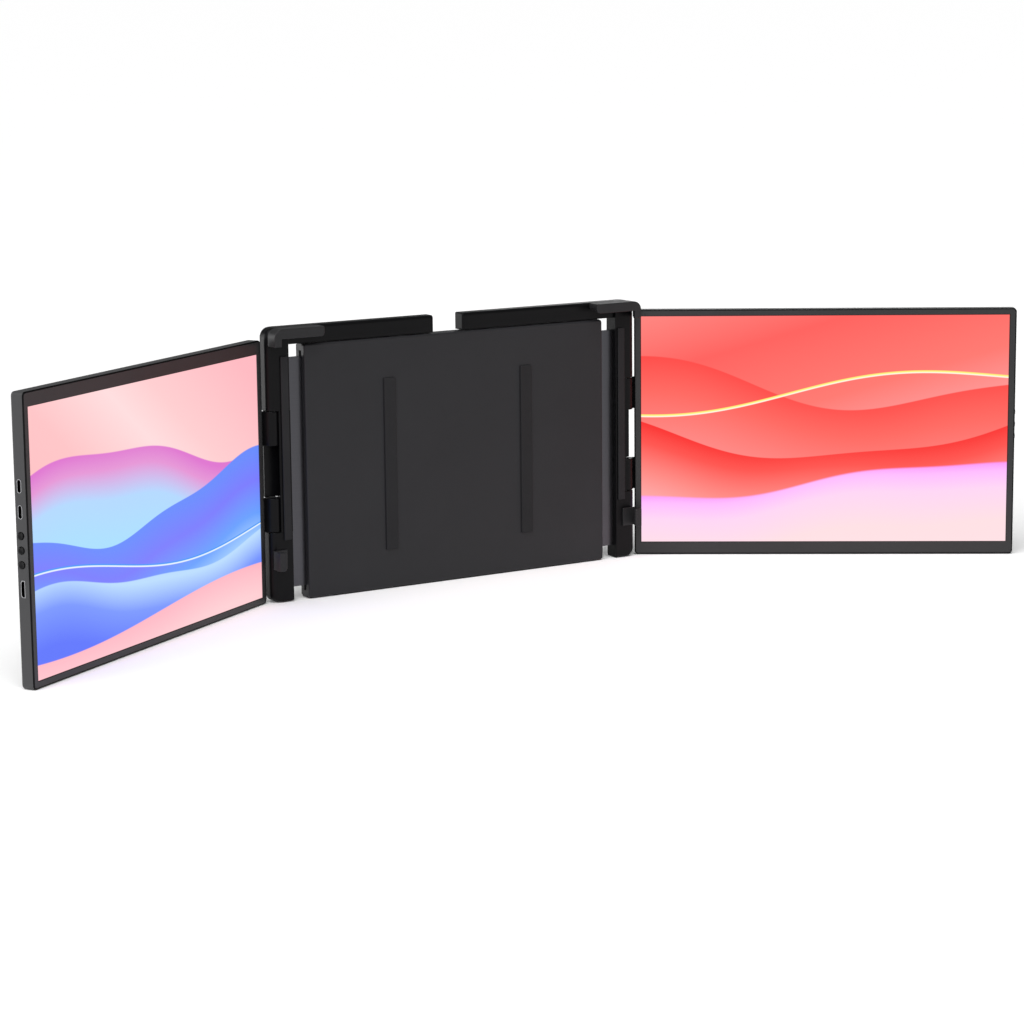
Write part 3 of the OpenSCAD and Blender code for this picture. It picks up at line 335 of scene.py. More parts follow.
def carve(piece, cutter):
    """Takes a cutter's closed shells out of a piece, and keeps the result as the piece's mesh."""
    tool = bpy.data.objects.new(piece.name + "_cutter", cutter.mesh("cutter"))
    bpy.context.scene.collection.objects.link(tool)
    step = piece.modifiers.new("Cut", "BOOLEAN")
    step.operation, step.solver, step.use_self = "DIFFERENCE", "EXACT", True
    step.object = tool
    bpy.context.view_layer.update()
    seen = piece.evaluated_get(bpy.context.evaluated_depsgraph_get())
    cut = bpy.data.meshes.new_from_object(seen)
    piece.modifiers.clear()
    old, piece.data = piece.data, cut
    bpy.data.meshes.remove(old)
    bpy.data.objects.remove(tool)
    if len(cut.polygons) < 6:
        raise RuntimeError(f"cutting {piece.name} left nothing")


# ------------------------------------------------------------------ finishes

def linear(red, green, blue):
    """Linear light of a colour given as a screen shows it, 0 to 255: a share s of full becomes
    s / 12.92 where it is dark, and ((s + 0.055) / 1.055) to the power 2.4 elsewhere."""
    shown = np.array([red, green, blue]) / 255
    light = np.where(shown <= 0.04045, shown / 12.92, ((shown + 0.055) / 1.055) ** 2.4)
    return tuple(float(c) for c in light)


class Value:
    """A shader socket that takes part in arithmetic: each operation adds a Math node."""

    def __init__(self, shader, socket):
        self.shader, self.socket = shader, socket

    def math(self, operation, *others):
        """This value and others through a Math node."""
        values = dict(enumerate((self,) + others))
        return self.shader.add("Math", {"operation": operation}, values)

    def __add__(self, other):
        return self.math("ADD", other)

    def __sub__(self, other):
        return self.math("SUBTRACT", other)

    def __mul__(self, other):
        return self.math("MULTIPLY", other)

    def __rsub__(self, other):
        return self.shader.add("Math", {"operation": "SUBTRACT"}, {0: other, 1: self})

    __radd__ = __add__
    __rmul__ = __mul__

    def above(self, edge, softness):
        """0 below the edge and 1 above it, with a smooth step of that softness."""
        return self.shader.add(
            "MapRange", {"interpolation_type": "SMOOTHSTEP"},
            {"Value": self - edge, "From Min": -softness / 2, "From Max": softness / 2})


class Shader:
    """The nodes of one material."""

    def __init__(self, name):
        self.material = bpy.data.materials.new(name)
        self.material.use_nodes = True
        self.tree = self.material.node_tree
        self.tree.nodes.clear()

    def add(self, kind, settings=None, inputs=None, output=0):
        """Adds a node, with its settings first, then its inputs' values or links. A ramp's stops
        are pairs of a place and a colour as a screen shows it."""
        node = self.tree.nodes.new("ShaderNode" + kind)
        for key, value in (settings or {}).items():
            if key == "stops":
                ramp = node.color_ramp
                ramp.elements.remove(ramp.elements[-1])
                for index, (place, tint) in enumerate(value):
                    stop = ramp.elements[0] if index == 0 else ramp.elements.new(place)
                    stop.position, stop.color = place, (*linear(*tint), 1)
            else:
                setattr(node, key, value)
        for key, value in (inputs or {}).items():
            if isinstance(value, Value):
                self.tree.links.new(value.socket, node.inputs[key])
            else:
                node.inputs[key].default_value = value
        return Value(self, node.outputs[output])

    def object_point(self, scale=(1, 1, 1), turn=(0, 0, 0)):
        """The point in the piece's own coordinates, which are the model's, scaled and turned."""
        point = self.add("TexCoord", output="Object")
        return self.add("Mapping", {"vector_type": "POINT"},
                        {"Vector": point, "Scale": scale, "Rotation": turn})

    def along(self, direction, origin):
        """How far the point lies along a direction from an origin."""
        point = self.add("TexCoord", output="Object")
        from_origin = self.add("VectorMath", {"operation": "SUBTRACT"},
                               {0: point, 1: tuple(origin)})
        return self.add("VectorMath", {"operation": "DOT_PRODUCT"},
                        {0: from_origin, 1: tuple(direction)}, output="Value")

    def noise(self, scale, detail=2.0, stretch=(1, 1, 1)):
        """Cloudy noise from 0 to 1; scale is in features per metre."""
        return self.add("TexNoise", None, {"Vector": self.object_point(stretch), "Scale": scale,
                                           "Detail": detail, "Roughness": 0.55})

    def mix(self, factor, first, second):
        """Two colours mixed by a factor."""
        def rgba(tint):
            return tint if isinstance(tint, Value) else (*tint, 1)
        return self.add("Mix", {"data_type": "RGBA"},
                        {0: factor, 6: rgba(first), 7: rgba(second)}, output=2)

    def finish(self, **sockets):
        """Ends the material in one glossy shader with those sockets, and returns it."""
        inputs = {name.replace("_", " "): value for name, value in sockets.items()}
        surface = self.add("BsdfPrincipled", None, inputs)
        output = self.tree.nodes.new("ShaderNodeOutputMaterial")
        self.tree.links.new(surface.socket, output.inputs["Surface"])
        return self.material


def moulded(name, tint, roughness, specular, grain=1600.0, relief=0.02):
    """Moulded plastic: a spark-eroded grain, faint clouds of colour and uneven gloss."""
    s = Shader(name)
    clouds = s.noise(14.0, 3.0)
    fine = s.noise(grain, 2.0)
    dark, light = (tuple(shade * c for c in tint) for shade in (0.82, 1.18))
    bump = s.add("Bump", None, {"Height": fine, "Strength": 0.35, "Distance": relief * MM})
    return s.finish(Base_Color=s.mix(clouds, dark, light),
                    Roughness=roughness + 0.10 * (s.noise(45.0, 2.0) - 0.5) + 0.05 * (fine - 0.5),
                    Specular_IOR_Level=specular, Normal=bump)


def metal(name, tint, roughness, stretch=(1, 1, 1), scale=900.0):
    """Bare metal with fine drawn lines along the axis that the stretch leaves short."""
    s = Shader(name)
    lines = s.noise(scale, 3.0, stretch)
    bump = s.add("Bump", None, {"Height": lines, "Strength": 0.3, "Distance": 0.01 * MM})
    return s.finish(Base_Color=s.mix(lines, tuple(0.8 * c for c in tint), tint),
                    Roughness=roughness + 0.16 * (lines - 0.5), Metallic=1.0, Normal=bump)


def rubber(name, tint):
    """Soft rubber: dull, with a fine pebbled skin."""
    s = Shader(name)
    cells = s.add("TexVoronoi", None, {"Vector": s.object_point(), "Scale": 1400.0})
    bump = s.add("Bump", None, {"Height": cells, "Strength": 0.5, "Distance": 0.03 * MM})
    return s.finish(Base_Color=s.mix(s.noise(30.0), tint, tuple(1.5 * c for c in tint)),
                    Roughness=0.72 + 0.12 * (s.noise(80.0) - 0.5), Specular_IOR_Level=0.25,
                    Normal=bump)


def printed_board(name):
    """Green circuit board with lighter copper tracks and a few bare pads."""
    s = Shader(name)
    tracks = s.add("TexBrick", {"offset": 0.5},
                   {"Vector": s.object_point(turn=(math.radians(90), 0, 0)), "Scale": 260.0,
                    "Color1": (1, 1, 1, 1), "Color2": (1, 1, 1, 1), "Mortar": (0, 0, 0, 1),
                    "Mortar Size": 0.03})
    pads = s.noise(420.0, 0.0).above(0.68, 0.03)
    board = s.mix(tracks, (0.02, 0.16, 0.07), (0.01, 0.09, 0.04))
    return s.finish(Base_Color=s.mix(pads, board, (0.55, 0.42, 0.18)),
                    Roughness=0.42 - 0.1 * pads, Metallic=0.6 * pads)


def rolling(x, level, swells):
    """A level plus, for each swell, its height times the sine of its waves across x."""
    for amount, waves, phase in swells:
        level = level + amount * (x * (2 * math.pi * waves) + phase).math("SINE")
    return level


# What each display shows. A sky: how its colours run across and up, and their stops. A layer: the
# height of its crest, its swells (height, waves, phase), its depth, its stops and the crest's
# softness. The line: level, slope, swells, thickness and stops. All in shares of the picture.
PICTURES = {
    "left": (
        (0.55, 0.45, [(0.05, (254, 186, 190)), (0.45, (255, 196, 198)), (0.62, (255, 221, 222)),
                      (0.72, (255, 206, 208)), (0.95, (254, 186, 194))]),
        [(0.70, [(0.085, 0.75, 0.4), (0.02, 1.9, 1.0)], 0.42,
          [(0.0, (222, 118, 208)), (0.16, (228, 150, 214)), (0.42, (178, 216, 255)),
           (0.8, (170, 222, 255))], 0.006),
         (0.52, [(0.10, 0.7, 3.3), (0.015, 2.3, 0.2)], 0.40,
          [(0.0, (104, 140, 252)), (0.3, (122, 124, 255)), (0.65, (104, 160, 255)),
           (1.0, (176, 218, 255))], 0.004),
         (0.27, [(0.055, 0.8, 1.4), (0.012, 2.1, 0.5)], 0.30,
          [(0.0, (186, 220, 255)), (0.35, (120, 150, 255)), (0.8, (92, 116, 250))], 0.005),
         (0.10, [(0.05, 0.62, 4.2)], 0.2, [(0.0, (255, 184, 196)), (0.6, (255, 206, 210))],
          0.004)],
        (0.335, -0.03, [(0.055, 0.8, 1.4)], 0.0055,
         [(0.0, (255, 255, 255)), (0.45, (214, 240, 255)), (0.6, (70, 150, 245))])),
    "right": (
        (-0.35, 0.75, [(0.0, (255, 178, 180)), (0.3, (255, 120, 112)), (0.55, (255, 96, 92)),
                       (0.8, (255, 140, 134))]),
        [(0.72, [(0.12, 0.6, 2.2), (0.03, 1.4, 0.3)], 0.5,
          [(0.0, (255, 74, 70)), (0.3, (255, 104, 96)), (0.8, (255, 140, 136))], 0.006),
         (0.50, [(0.13, 0.55, 3.0), (0.02, 1.6, 2.0)], 0.45,
          [(0.0, (250, 44, 42)), (0.2, (255, 84, 78)), (0.5, (255, 138, 132)),
           (0.95, (255, 186, 186))], 0.005),
         (0.27, [(0.08, 0.6, 4.4), (0.012, 1.9, 1.1)], 0.32,
          [(0.0, (250, 150, 250)), (0.12, (254, 188, 255)), (0.35, (255, 214, 244)),
           (0.8, (255, 224, 228))], 0.012)],
        (0.60, 0.14, [(0.05, 0.9, 4.0)], 0.006,
         [(0.0, (255, 255, 250)), (0.45, (255, 250, 190)), (0.6, (255, 244, 120))])),
}


def picture(side):
    """The lit picture of a display: a sky with soft layers of rolling waves below it, and one thin
    bright line. A layer's crest is a level plus one or two sines of the way across; its colour
    runs from the crest's to the foot's over its depth."""
    place = panel_place(side)
    low, high = local_box(f"{side}_display_glass", place)
    rim = 1.5 * MM      # black glass round the lit area
    width, height = high[0] - low[0] - 2 * rim, high[2] - low[2] - 2 * rim
    origin, axes = place
    middle = (low + high) / 2 @ axes + origin
    across = axes[0] * (1 if side == "right" else -1)
    (lean_x, lean_y, sky), layers, (level, slope, line_swells, thick, line) = PICTURES[side]
    s = Shader(f"{side}_picture")
    x = s.along(across, middle) * (1 / width) + 0.5
    y = s.along((0, 0, 1), middle) * (1 / height) + 0.5
    drift = s.noise(5.0, 1.0)
    tint = s.add("ValToRGB", {"stops": sky}, {"Fac": x * lean_x + y * lean_y})
    for crest, swells, depth, stops, softness in layers:
        below = rolling(x, crest, swells) - y
        shade = s.add("ValToRGB", {"stops": stops},
                      {"Fac": below * (1 / depth) + 0.35 * (drift - 0.5)})
        tint = s.mix(below.above(0.0, softness), tint, shade)
    centre = rolling(x, level + slope * x, line_swells)
    near = (y - centre).math("ABSOLUTE")
    tint = s.mix(1 - near.above(thick, 0.004), tint,
                 s.add("ValToRGB", {"stops": line}, {"Fac": (y - centre) * (0.5 / thick) + 0.5}))
    inside = ((x - 0.5).math("ABSOLUTE").above(0.5, 0.001)).math(
        "MAXIMUM", (y - 0.5).math("ABSOLUTE").above(0.5, 0.0015))
    return s.finish(Base_Color=(0.004, 0.004, 0.004, 1), Roughness=0.33,
                    Specular_IOR_Level=0.12, Emission_Strength=1.0,
                    Emission_Color=s.mix(inside, tint, (0.0, 0.0, 0.0)))


def dress(nodes, material):
    """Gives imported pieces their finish."""
    for name in nodes:
        mesh = frame["nodes"][name].data
        mesh.materials.clear()
        mesh.materials.append(material)


def both(*names):
    """The same pieces of the left and the right half."""
    return [f"{side}_{name}" for side in SIDES for name in names]


# ------------------------------------------------------------------ operators

class EXTENDER_OT_bars(bpy.types.Operator):
    """Side bars and top bars of both bracket halves, with their end caps"""

    bl_idname = "extender.bars"
    bl_label = "Bracket Bars"
    bl_options = {"REGISTER", "UNDO"}

    def execute(self, context):
        size, satin = sizes(), moulded("satin_black", colours().bar, 0.32, 0.13)
        for side in SIDES:
            self.bracket(side, bracket_place(side), size, satin)
            self.cap(side, bracket_place(side), size, satin)
        return {"FINISHED"}

    @staticmethod
    def upright(surface, size, low, high, base, top, inner):
        """A side bar's stretch: its section is a rectangle with large outer corners, and at height
        z its outer face steps in by r(1 - cos a) where the end's corner has turned by a. Near an
        end its front and back step in by e(1 - sqrt(1 - n^2)), where n is the share of the edge e
        that is left."""
        small, steps = 0.5 * MM, 12
        start = size.bar_foot if base <= low[2] else small
        end = size.bar_corner if top >= high[2] else small
        step, height = plate_profile(base, top, start, end, steps)
        edge = np.repeat([min(start, size.bar_top), min(end, size.bar_top)], steps + 1)
        near = np.clip(1 - np.minimum(height - base, top - height) / edge, 0, 1)
        shrink = edge * (1 - np.sqrt(1 - near ** 2))
        inner, outer = np.full_like(step, inner), high[0] - step
        front, back = low[1] + shrink, high[1] - shrink
        corners = np.stack([inner, front, outer, front, outer, back, inner, back], -1)
        radii = [small, size.bar_edge, size.bar_back, small]
        surface.loft(outline(corners.reshape(-1, 4, 2), radii, 0.0, 8), height, "z")

    def bracket(self, side, place, size, satin):
        """Side bar in two stretches, web and spine between them, and the top bar. The web's
        section is a polygon with a hollow, an arc about the hinge's axis that clears the
        knuckles."""
        low, high = local_box(f"{side}_bracket_frame", place)
        cap_low, cap_high = local_box(f"{side}_bar_end_cap", place)
        hinge_x, _, middle = JOINTS[f"{side}_panel_hinge"]["pos_m"]
        axis, inner = abs(hinge_x), high[0] - size.side_bar_width
        half, reach, gap = size.knuckle_height / 2, size.knuckle_pitch / 2, 0.4 * MM
        under, over = middle - reach - half - gap, middle + reach + half + gap
        surface = Surface(place)
        self.upright(surface, size, low, high, low[2], under, inner)
        self.upright(surface, size, low, high, over, high[2], inner)
        room, mouth, shoulder, ledge, overlap = 6.4 * MM, 3.4 * MM, 7.6 * MM, 0.3 * MM, 0.1 * MM
        angle = np.arccos(np.linspace(-mouth / room, -math.sqrt(room ** 2 - ledge ** 2) / room,
                                      12))
        hollow = np.stack([axis + room * np.cos(angle), -room * np.sin(angle)], -1)
        web = np.concatenate([[[inner, low[1]], [axis - mouth, low[1]]], hollow,
                              [[axis - shoulder, ledge], [axis - shoulder, high[1]],
                               [inner, high[1]]]])
        surface.loft([web, web], [under - overlap, over + overlap], "z")
        edge, depth = 0.4 * MM, 4.9 * MM
        spine = rectangle((inner, high[1] - depth), (high[0], high[1]))
        surface.plate(spine, [SHARP, edge, size.bar_back, SHARP], middle - reach + half + gap,
                      middle + reach - half - gap, edge, edge, "z", 8)
        surface.plate(face(cap_low, cap_high, "x"), self.top_radii(size),
                      cap_high[0] + 0.15 * MM, inner + 3 * MM, 0.1 * MM, SHARP, "x")
        surface.make(f"{side}_bar", f"{side}_bracket", "bar_plastic", satin,
                     [f"{side}_bracket_frame"], self.seats(side, place, high))

    @staticmethod
    def top_radii(size):
        """Corner radii of a top bar's section: front and back below, back and front above."""
        return [0.4 * MM, 0.4 * MM, size.bar_top, size.bar_front]

    @staticmethod
    def seats(side, place, high):
        """Round seats for the screws' heads, which lie in the bars' backs. A head is all the
        points that lie together, and its centre is the middle of their box."""
        origin, axes = place
        points = (node_points(f"{side}_bracket_screws") - origin) @ axes.T
        heads = points[points[:, 1] > high[1] - 0.2 * MM][:, [0, 2]]
        cutter = Surface(place)
        while len(heads):
            one = np.hypot(*(heads - heads[0]).T) < 5 * MM
            centre = (heads[one].min(0) + heads[one].max(0)) / 2
            cutter.rod(centre, SEAT_RADIUS, (high[1] - SEAT_DEPTH, high[1] + MM), "y")
            heads = heads[~one]
        return cutter

    def cap(self, side, place, size, satin):
        """The top bar's end cap: the bar's section with a quarter round at its end, and a fine
        one where it meets the bar."""
        low, high = local_box(f"{side}_bar_end_cap", place)
        surface = Surface(place).plate(face(low, high, "x"), self.top_radii(size), low[0],
                                       high[0], size.cap_edge, 0.1 * MM, "x")
        surface.make(f"{side}_cap", f"{side}_bracket", "bar_plastic", satin,
                     [f"{side}_bar_end_cap"])


class EXTENDER_OT_clips(bpy.types.Operator):
    """Corner clips and side hooks that hold the lid"""

    bl_idname = "extender.clips"
    bl_label = "Clips and Hooks"
    bl_options = {"REGISTER", "UNDO"}

    def execute(self, context):
        size, charcoal = sizes(), moulded("charcoal", colours().clip, 0.42, 0.25)
        for side in SIDES:
            self.clip(side, bracket_place(side), size, charcoal)
            self.hook(side, bracket_place(side), size, charcoal)
        return {"FINISHED"}

    @staticmethod
    def clip(side, place, size, charcoal):
        """An angle whose rings keep one outer outline. In front of the lid the arm and the leg are
        wide; over and beside the lid they are thin, so the inner corner moves out."""
        low, high = local_box(f"{side}_corner_clip", place)
        bar_outer = local_box(f"{side}_bracket_frame", place)[1][0]
        arm, roof, small = 7.3 * MM, 5.5 * MM, 0.3 * MM
        lip_y, bar_y = low[1] + LIP, high[1] - 2.3 * MM
        inset, depth = quarter(size.clip_edge)
        insets = np.concatenate([inset[::-1], [0, 0, 0]])
        depths = np.concatenate([low[1] + depth[::-1], [lip_y, lip_y + SHARP, bar_y]])
        wide = np.concatenate([np.ones(len(inset) + 1), [0, 0]])
        x = high[0] - (LID_WALL + wide * (LIP_WIDTH - LID_WALL))
        z = high[2] - (roof + wide * (arm - roof))
        corners = np.stack([np.stack(np.broadcast_arrays(u, v, wide)[:2], -1) for u, v in (
            (x, low[2]), (high[0], low[2]), (high[0], high[2]), (low[0], high[2]), (low[0], z),
            (x, z))], 1)
        crown = size.bar_corner + high[0] - bar_outer
        radii = [small, small, crown, 0.6 * MM, 3 * MM, small]
        surface = Surface(place).loft(outline(corners, radii, insets, 7), depths, "y")
        surface.block((low[0] + 3 * MM, bar_y - 0.3 * MM, high[2] - roof),
                      (bar_outer - size.side_bar_width, high[1], high[2]), 0.2 * MM)
        surface.make(f"{side}_clip", f"{side}_bracket", "clip_plastic", charcoal,
                     [f"{side}_corner_clip"])

    @staticmethod
    def hook(side, place, size, charcoal):
        """A lip in front of the lid's side, the wall beside the lid and the plate behind it."""
        low, high = local_box(f"{side}_side_hook", place)
        lip_y, plate_y = low[1] + LIP, high[1] - 1.5 * MM
        tip, small = 2 * MM, 0.3 * MM
        lip = rectangle((high[0] - LIP_WIDTH, low[2]), (high[0], high[2]))
        surface = Surface(place).plate(lip, [tip, small, small, tip], low[1], lip_y,
                                       size.clip_edge, 0.2 * MM)
        surface.block((high[0] - LID_WALL, lip_y - 0.5 * MM, low[2]), high, 0.2 * MM)
        surface.block((low[0], plate_y, low[2]), high, small)
        surface.make(f"{side}_hook", f"{side}_bracket", "clip_plastic", charcoal,
                     [f"{side}_side_hook"])


class EXTENDER_OT_hinges(bpy.types.Operator):
    """Hinge knuckles with the arms and leaves that hold the displays"""

    bl_idname = "extender.hinges"
    bl_label = "Hinges"
    bl_options = {"REGISTER", "UNDO"}

    def execute(self, context):
        size, black = sizes(), moulded("hinge_black", colours().bar, 0.32, 0.13, 900.0)
        for side in SIDES:
            self.knuckles(side, panel_place(side), size, black)
        dress(both("hinge_pins"), metal("pin_steel", (0.62, 0.62, 0.64), 0.28, (1, 1, 0.05)))
        dress(both("hinge_bushes"), metal("bush_brass", (0.80, 0.60, 0.28), 0.32, (1, 1, 0.05)))
        return {"FINISHED"}

    @staticmethod
    def knuckles(side, place, size, black):
        """Each knuckle is a round barrel whose outline runs on into an arm with soft corners. A
        thin leaf joins both arms, and a bore for the pin goes into each barrel."""
        low, high = local_box(f"{side}_hinge_leaf", place)
        hinge = np.array(JOINTS[f"{side}_panel_hinge"]["pos_m"])
        x, y = centre = ((hinge - place[0]) @ place[1].T)[:2]
        r, bore_radius, bore_depth = 6 * MM, 3.05 * MM, 23 * MM
        leaf_x, leaf = 2.2 * MM, 1.4 * MM
        barrel = 0.998 * r
        corners = [[x - r, y - r], [x + r, y - r], [x + r, 1.2 * MM], [3.0 * MM, 2.8 * MM],
                   [5.2 * MM, 7.0 * MM], [5.2 * MM, high[1]], [leaf_x, high[1]],
                   [-0.8 * MM, y + r], [x - r, y + r]]
        radii = [barrel, barrel, 1.2 * MM, 0.6 * MM, SHARP, SHARP, SHARP, 2 * MM, barrel]
        surface, bore = Surface(place), Surface(place)
        for sign in (-1, 1):
            middle, half = sign * size.knuckle_pitch / 2, size.knuckle_height / 2
            surface.plate(corners, radii, middle - half, middle - half + size.knuckle_height,
                          size.knuckle_edge, size.knuckle_edge, "z", 8)
            mouth = sign * (size.knuckle_pitch / 2 + half)
            bore.rod(centre, bore_radius, sorted([mouth - sign * bore_depth, mouth + sign * MM]),
                     "z", 48)
        surface.block((leaf_x, high[1] - leaf, low[2]), high, 0.1 * MM)
        surface.make(f"{side}_knuckles", f"{side}_panel", "dark_steel", black,
                     [f"{side}_hinge_leaf"], bore)


class EXTENDER_OT_displays(bpy.types.Operator):
    """Bezels, back shells and lit pictures of both displays"""

    bl_idname = "extender.displays"
    bl_label = "Displays"
    bl_options = {"REGISTER", "UNDO"}

    def execute(self, context):
        size, tint = sizes(), colours()
        grey = moulded("bezel_grey", tint.bezel, 0.40, 0.35, 2200.0)
        charcoal = moulded("shell_charcoal", tint.shell, 0.42, 0.35, 1200.0, 0.04)
        # near-black glossy rim: painted shade along the bezel's edge, darker than the bezel's own
        # grey
        gloss = moulded("rim_black", tint.bar, 0.26, 0.1, 900.0, 0.005)
        for side in SIDES:
            place = panel_place(side)
            self.rim(side, place, size, gloss)
            self.bezel(side, place, size, grey)
            self.shell(side, place, size, charcoal)
            dress([f"{side}_display_glass"], picture(side))
        s = Shader("light_guide")
        dress(both("backlight"), s.finish(
            Base_Color=s.mix(s.noise(60.0), (0.62, 0.64, 0.68), (0.8, 0.81, 0.83)),
            Roughness=0.3))
        return {"FINISHED"}

    @staticmethod
    def rim(side, place, size, gloss):
        """A band round the bezel: its outer wall, and a front that is a quarter of an ellipse, the
        rim's width across and the wall's depth deep. Its near-black colour is painted shade along
        the bezel's edge; its gloss catches real highlights."""
        low, high = local_box(f"{side}_front_bezel", place)
        width, wall = size.rim_width, size.bezel_wall
        inset, depth = quarter(1.0, 6)
        rings = outline(face(low, high)[None], PANEL_CORNER,
                        np.concatenate([[0], width * inset, [width]]), 8)
        depths = low[1] + wall * np.concatenate([[1], depth, [1]])
        surface = Surface(place).loft(rings, depths, "y", closed=True)
        surface.make(f"{side}_bezel_rim", f"{side}_panel", "bezel_plastic", gloss)

    @staticmethod
    def bezel(side, place, size, grey):
        """A frame whose profile is carried round both outlines: up the outer wall inside the rim,
        across the front, and over a small quarter round down to the glass."""
        low, high = local_box(f"{side}_front_bezel", place)
        glass_low, glass_high = local_box(f"{side}_display_glass", place)
        outer, window = face(low, high)[None], face(glass_low + MM, glass_high - MM)[None]
        lip, corner, tuck = 0.25 * MM, 0.4 * MM, 0.6 * MM
        inset, depth = quarter(size.bezel_edge, 3)
        lip_inset, lip_depth = quarter(lip, 3)
        rings = np.concatenate([
            outline(outer, PANEL_CORNER,
                    size.rim_width + 0.02 * MM + np.concatenate([[0], inset]), 8),
            outline(window, corner, (lip_inset - lip)[::-1], 8),
            outline(window, corner, [0, -tuck], 8)])
        depths = np.concatenate([[low[1] + size.bezel_wall], low[1] + depth,
                                 low[1] + lip_depth[::-1], [glass_low[1] - 0.01 * MM] * 2])
        surface = Surface(place).loft(rings, depths, "y", closed=True)
        surface.make(f"{side}_bezel", f"{side}_panel", "bezel_plastic", grey,
                     [f"{side}_front_bezel"])

    def shell(self, side, place, size, charcoal):
        """A tray: from the floor inside, up the inner wall to the rim, in under the bezel for a
        fine dark groove, down the outer wall and over a quarter round to the back."""
        low, high = local_box(f"{side}_back_shell", place)
        wall, floor_y, groove, seam = 1.6 * MM, high[1] - 1.4 * MM, 0.4 * MM, 0.15 * MM
        front = local_box(f"{side}_front_bezel", place)[0][1] + size.bezel_wall
        inset, depth = quarter(size.shell_edge, 7)
        insets = np.concatenate([[wall, wall, groove, groove, 0], inset])
        depths = np.concatenate([[floor_y, front, front, front + seam, front + seam],
                                 high[1] - depth])
        surface = Surface(place).loft(outline(face(low, high)[None], PANEL_CORNER, insets, 8),
                                      depths, "y")
        cutter = Surface(place)
        self.mouths(side, place, cutter, (high[0] - 2 * wall, high[0] + MM))
        half = size.knuckle_height / 2 + 0.3 * MM
        for middle in (-size.knuckle_pitch / 2, size.knuckle_pitch / 2):
            cutter.block((-MM, front + seam, middle - half), (2 * wall, floor_y, middle + half),
                         SHARP)
        screw_z = local_box(f"{side}_panel_screws", place)[0][2] + 1.8 * MM
        seat_radius, seat_depth, from_end = 1.95 * MM, 0.75 * MM, 20 * MM
        for x in (from_end, high[0] / 2, high[0] - from_end):
            cutter.rod((x, screw_z), seat_radius, (high[1] - seat_depth, high[1] + MM), "y")
        surface.make(f"{side}_shell", f"{side}_panel", "shell_plastic", charcoal,
                     [f"{side}_back_shell"], cutter)

    @staticmethod
    def mouths(side, place, cutter, reach):
        """Openings in the outer edge: slots with round ends, a hexagon that narrows to the back
        of the display, and round holes for the buttons. All lie on one line along the edge."""
        usb_low, usb_high = local_box(f"{side}_usb_c_sockets", place)
        video_low, video_high = local_box(f"{side}_mini_hdmi_socket", place)
        y, gap, usb_length, usb_half, usb_round = (5.7 * MM, 0.15 * MM, 9 * MM, 1.65 * MM,
                                                   1.79 * MM)
        for base in (usb_low[2], usb_high[2] - usb_length):
            slot = rectangle((y - usb_half - gap, base - gap),
                             (y + usb_half + gap, base + usb_length + gap))
            cutter.plate(slot, usb_round, *reach, SHARP, SHARP, "x")
        half, step, slope = 1.75 * MM, 0.65 * MM, 1.3 * MM
        z0, z1 = video_low[2] - gap, video_high[2] + gap
        video = [[y - half, z0], [y + step, z0], [y + half, z0 + slope],
                 [y + half, z1 - slope], [y + step, z1], [y - half, z1]]
        cutter.plate(video, 0.2 * MM, *reach, SHARP, SHARP, "x", 3)
        for name in BUTTONS:
            low, high = local_box(f"{side}_{name}_button", place)
            cutter.rod((y, (low[2] + high[2]) / 2), 2.7 * MM, reach, "x")


class EXTENDER_OT_ports(bpy.types.Operator):
    """Buttons, sockets, switches and driver boards of both displays"""

    bl_idname = "extender.ports"
    bl_label = "Ports and Buttons"
    bl_options = {"REGISTER", "UNDO"}

    def execute(self, context):
        black = moulded("button_black", colours().button, 0.34, 0.2, 2500.0, 0.01)
        for side in SIDES:
            for name in BUTTONS:
                self.button(side, name, black)
            dress([f"{side}_usb_c_sockets", f"{side}_mini_hdmi_socket"], self.steel(side))
        dress(both("driver_board"), printed_board("board_green"))
        dress(both("tact_switches"), metal("switch_steel", (0.55, 0.55, 0.57), 0.35))
        return {"FINISHED"}

    @staticmethod
    def steel(side):
        """Bright steel at a socket's mouth that turns near-black a little way in: painted shade in
        the socket's recess.
        """
        origin, axes = panel_place(side)
        high = local_box(f"{side}_usb_c_sockets", (origin, axes))[1]
        s = Shader(f"{side}_socket_steel")
        # mask of the socket more than 0.2 mm in from its mouth, where shade is painted
        inside = (0 - s.along(axes[0], high @ axes + origin)).above(0.2 * MM, 0.1 * MM)
        lines = s.noise(900.0, 3.0)
        rim = s.mix(lines, (0.52, 0.52, 0.54), (0.62, 0.62, 0.64))
        # near-black base colour inside: painted shade in the recess, not a dark finish of the
        # steel
        return s.finish(Base_Color=s.mix(inside, rim, (0.01, 0.01, 0.01)),
                        Roughness=0.25 + 0.3 * inside, Metallic=1.0)

    @staticmethod
    def button(side, name, black):
        """A turned cap with its stem and flange: its rim is a quarter round, and from there to the
        middle the radius falls evenly while the dish deepens with the sine of the way."""
        place = panel_place(side)
        low, high = local_box(f"{side}_{name}_button", place)
        centre = ((low[1] + high[1]) / 2, (low[2] + high[2]) / 2)
        radius, rim, dish, stem, flange = 2.2 * MM, 0.45 * MM, 0.3 * MM, 1.2 * MM, 0.8 * MM
        flange_x = low[0] + 2.4 * MM
        inset, depth = quarter(rim, 4)
        way = np.linspace(0, 1, 6)[1:]
        radii = np.concatenate([[stem, stem, radius], radius - inset,
                                (radius - rim) * (1 - 0.92 * way)])
        depths = np.concatenate([[low[0], flange_x, flange_x], high[0] - depth,
                                 high[0] - dish * np.sin(way * math.pi / 2)])
        surface = Surface(place).turned(centre, radii, depths, "x", 40)
        surface.block((flange_x, low[1], low[2]), (flange_x + flange, high[1], high[2]),
                      0.1 * MM, "x")
        surface.make(f"{side}_{name}_cap", f"{side}_{name}_button", "button_plastic", black,
                     [f"{side}_{name}_button"])


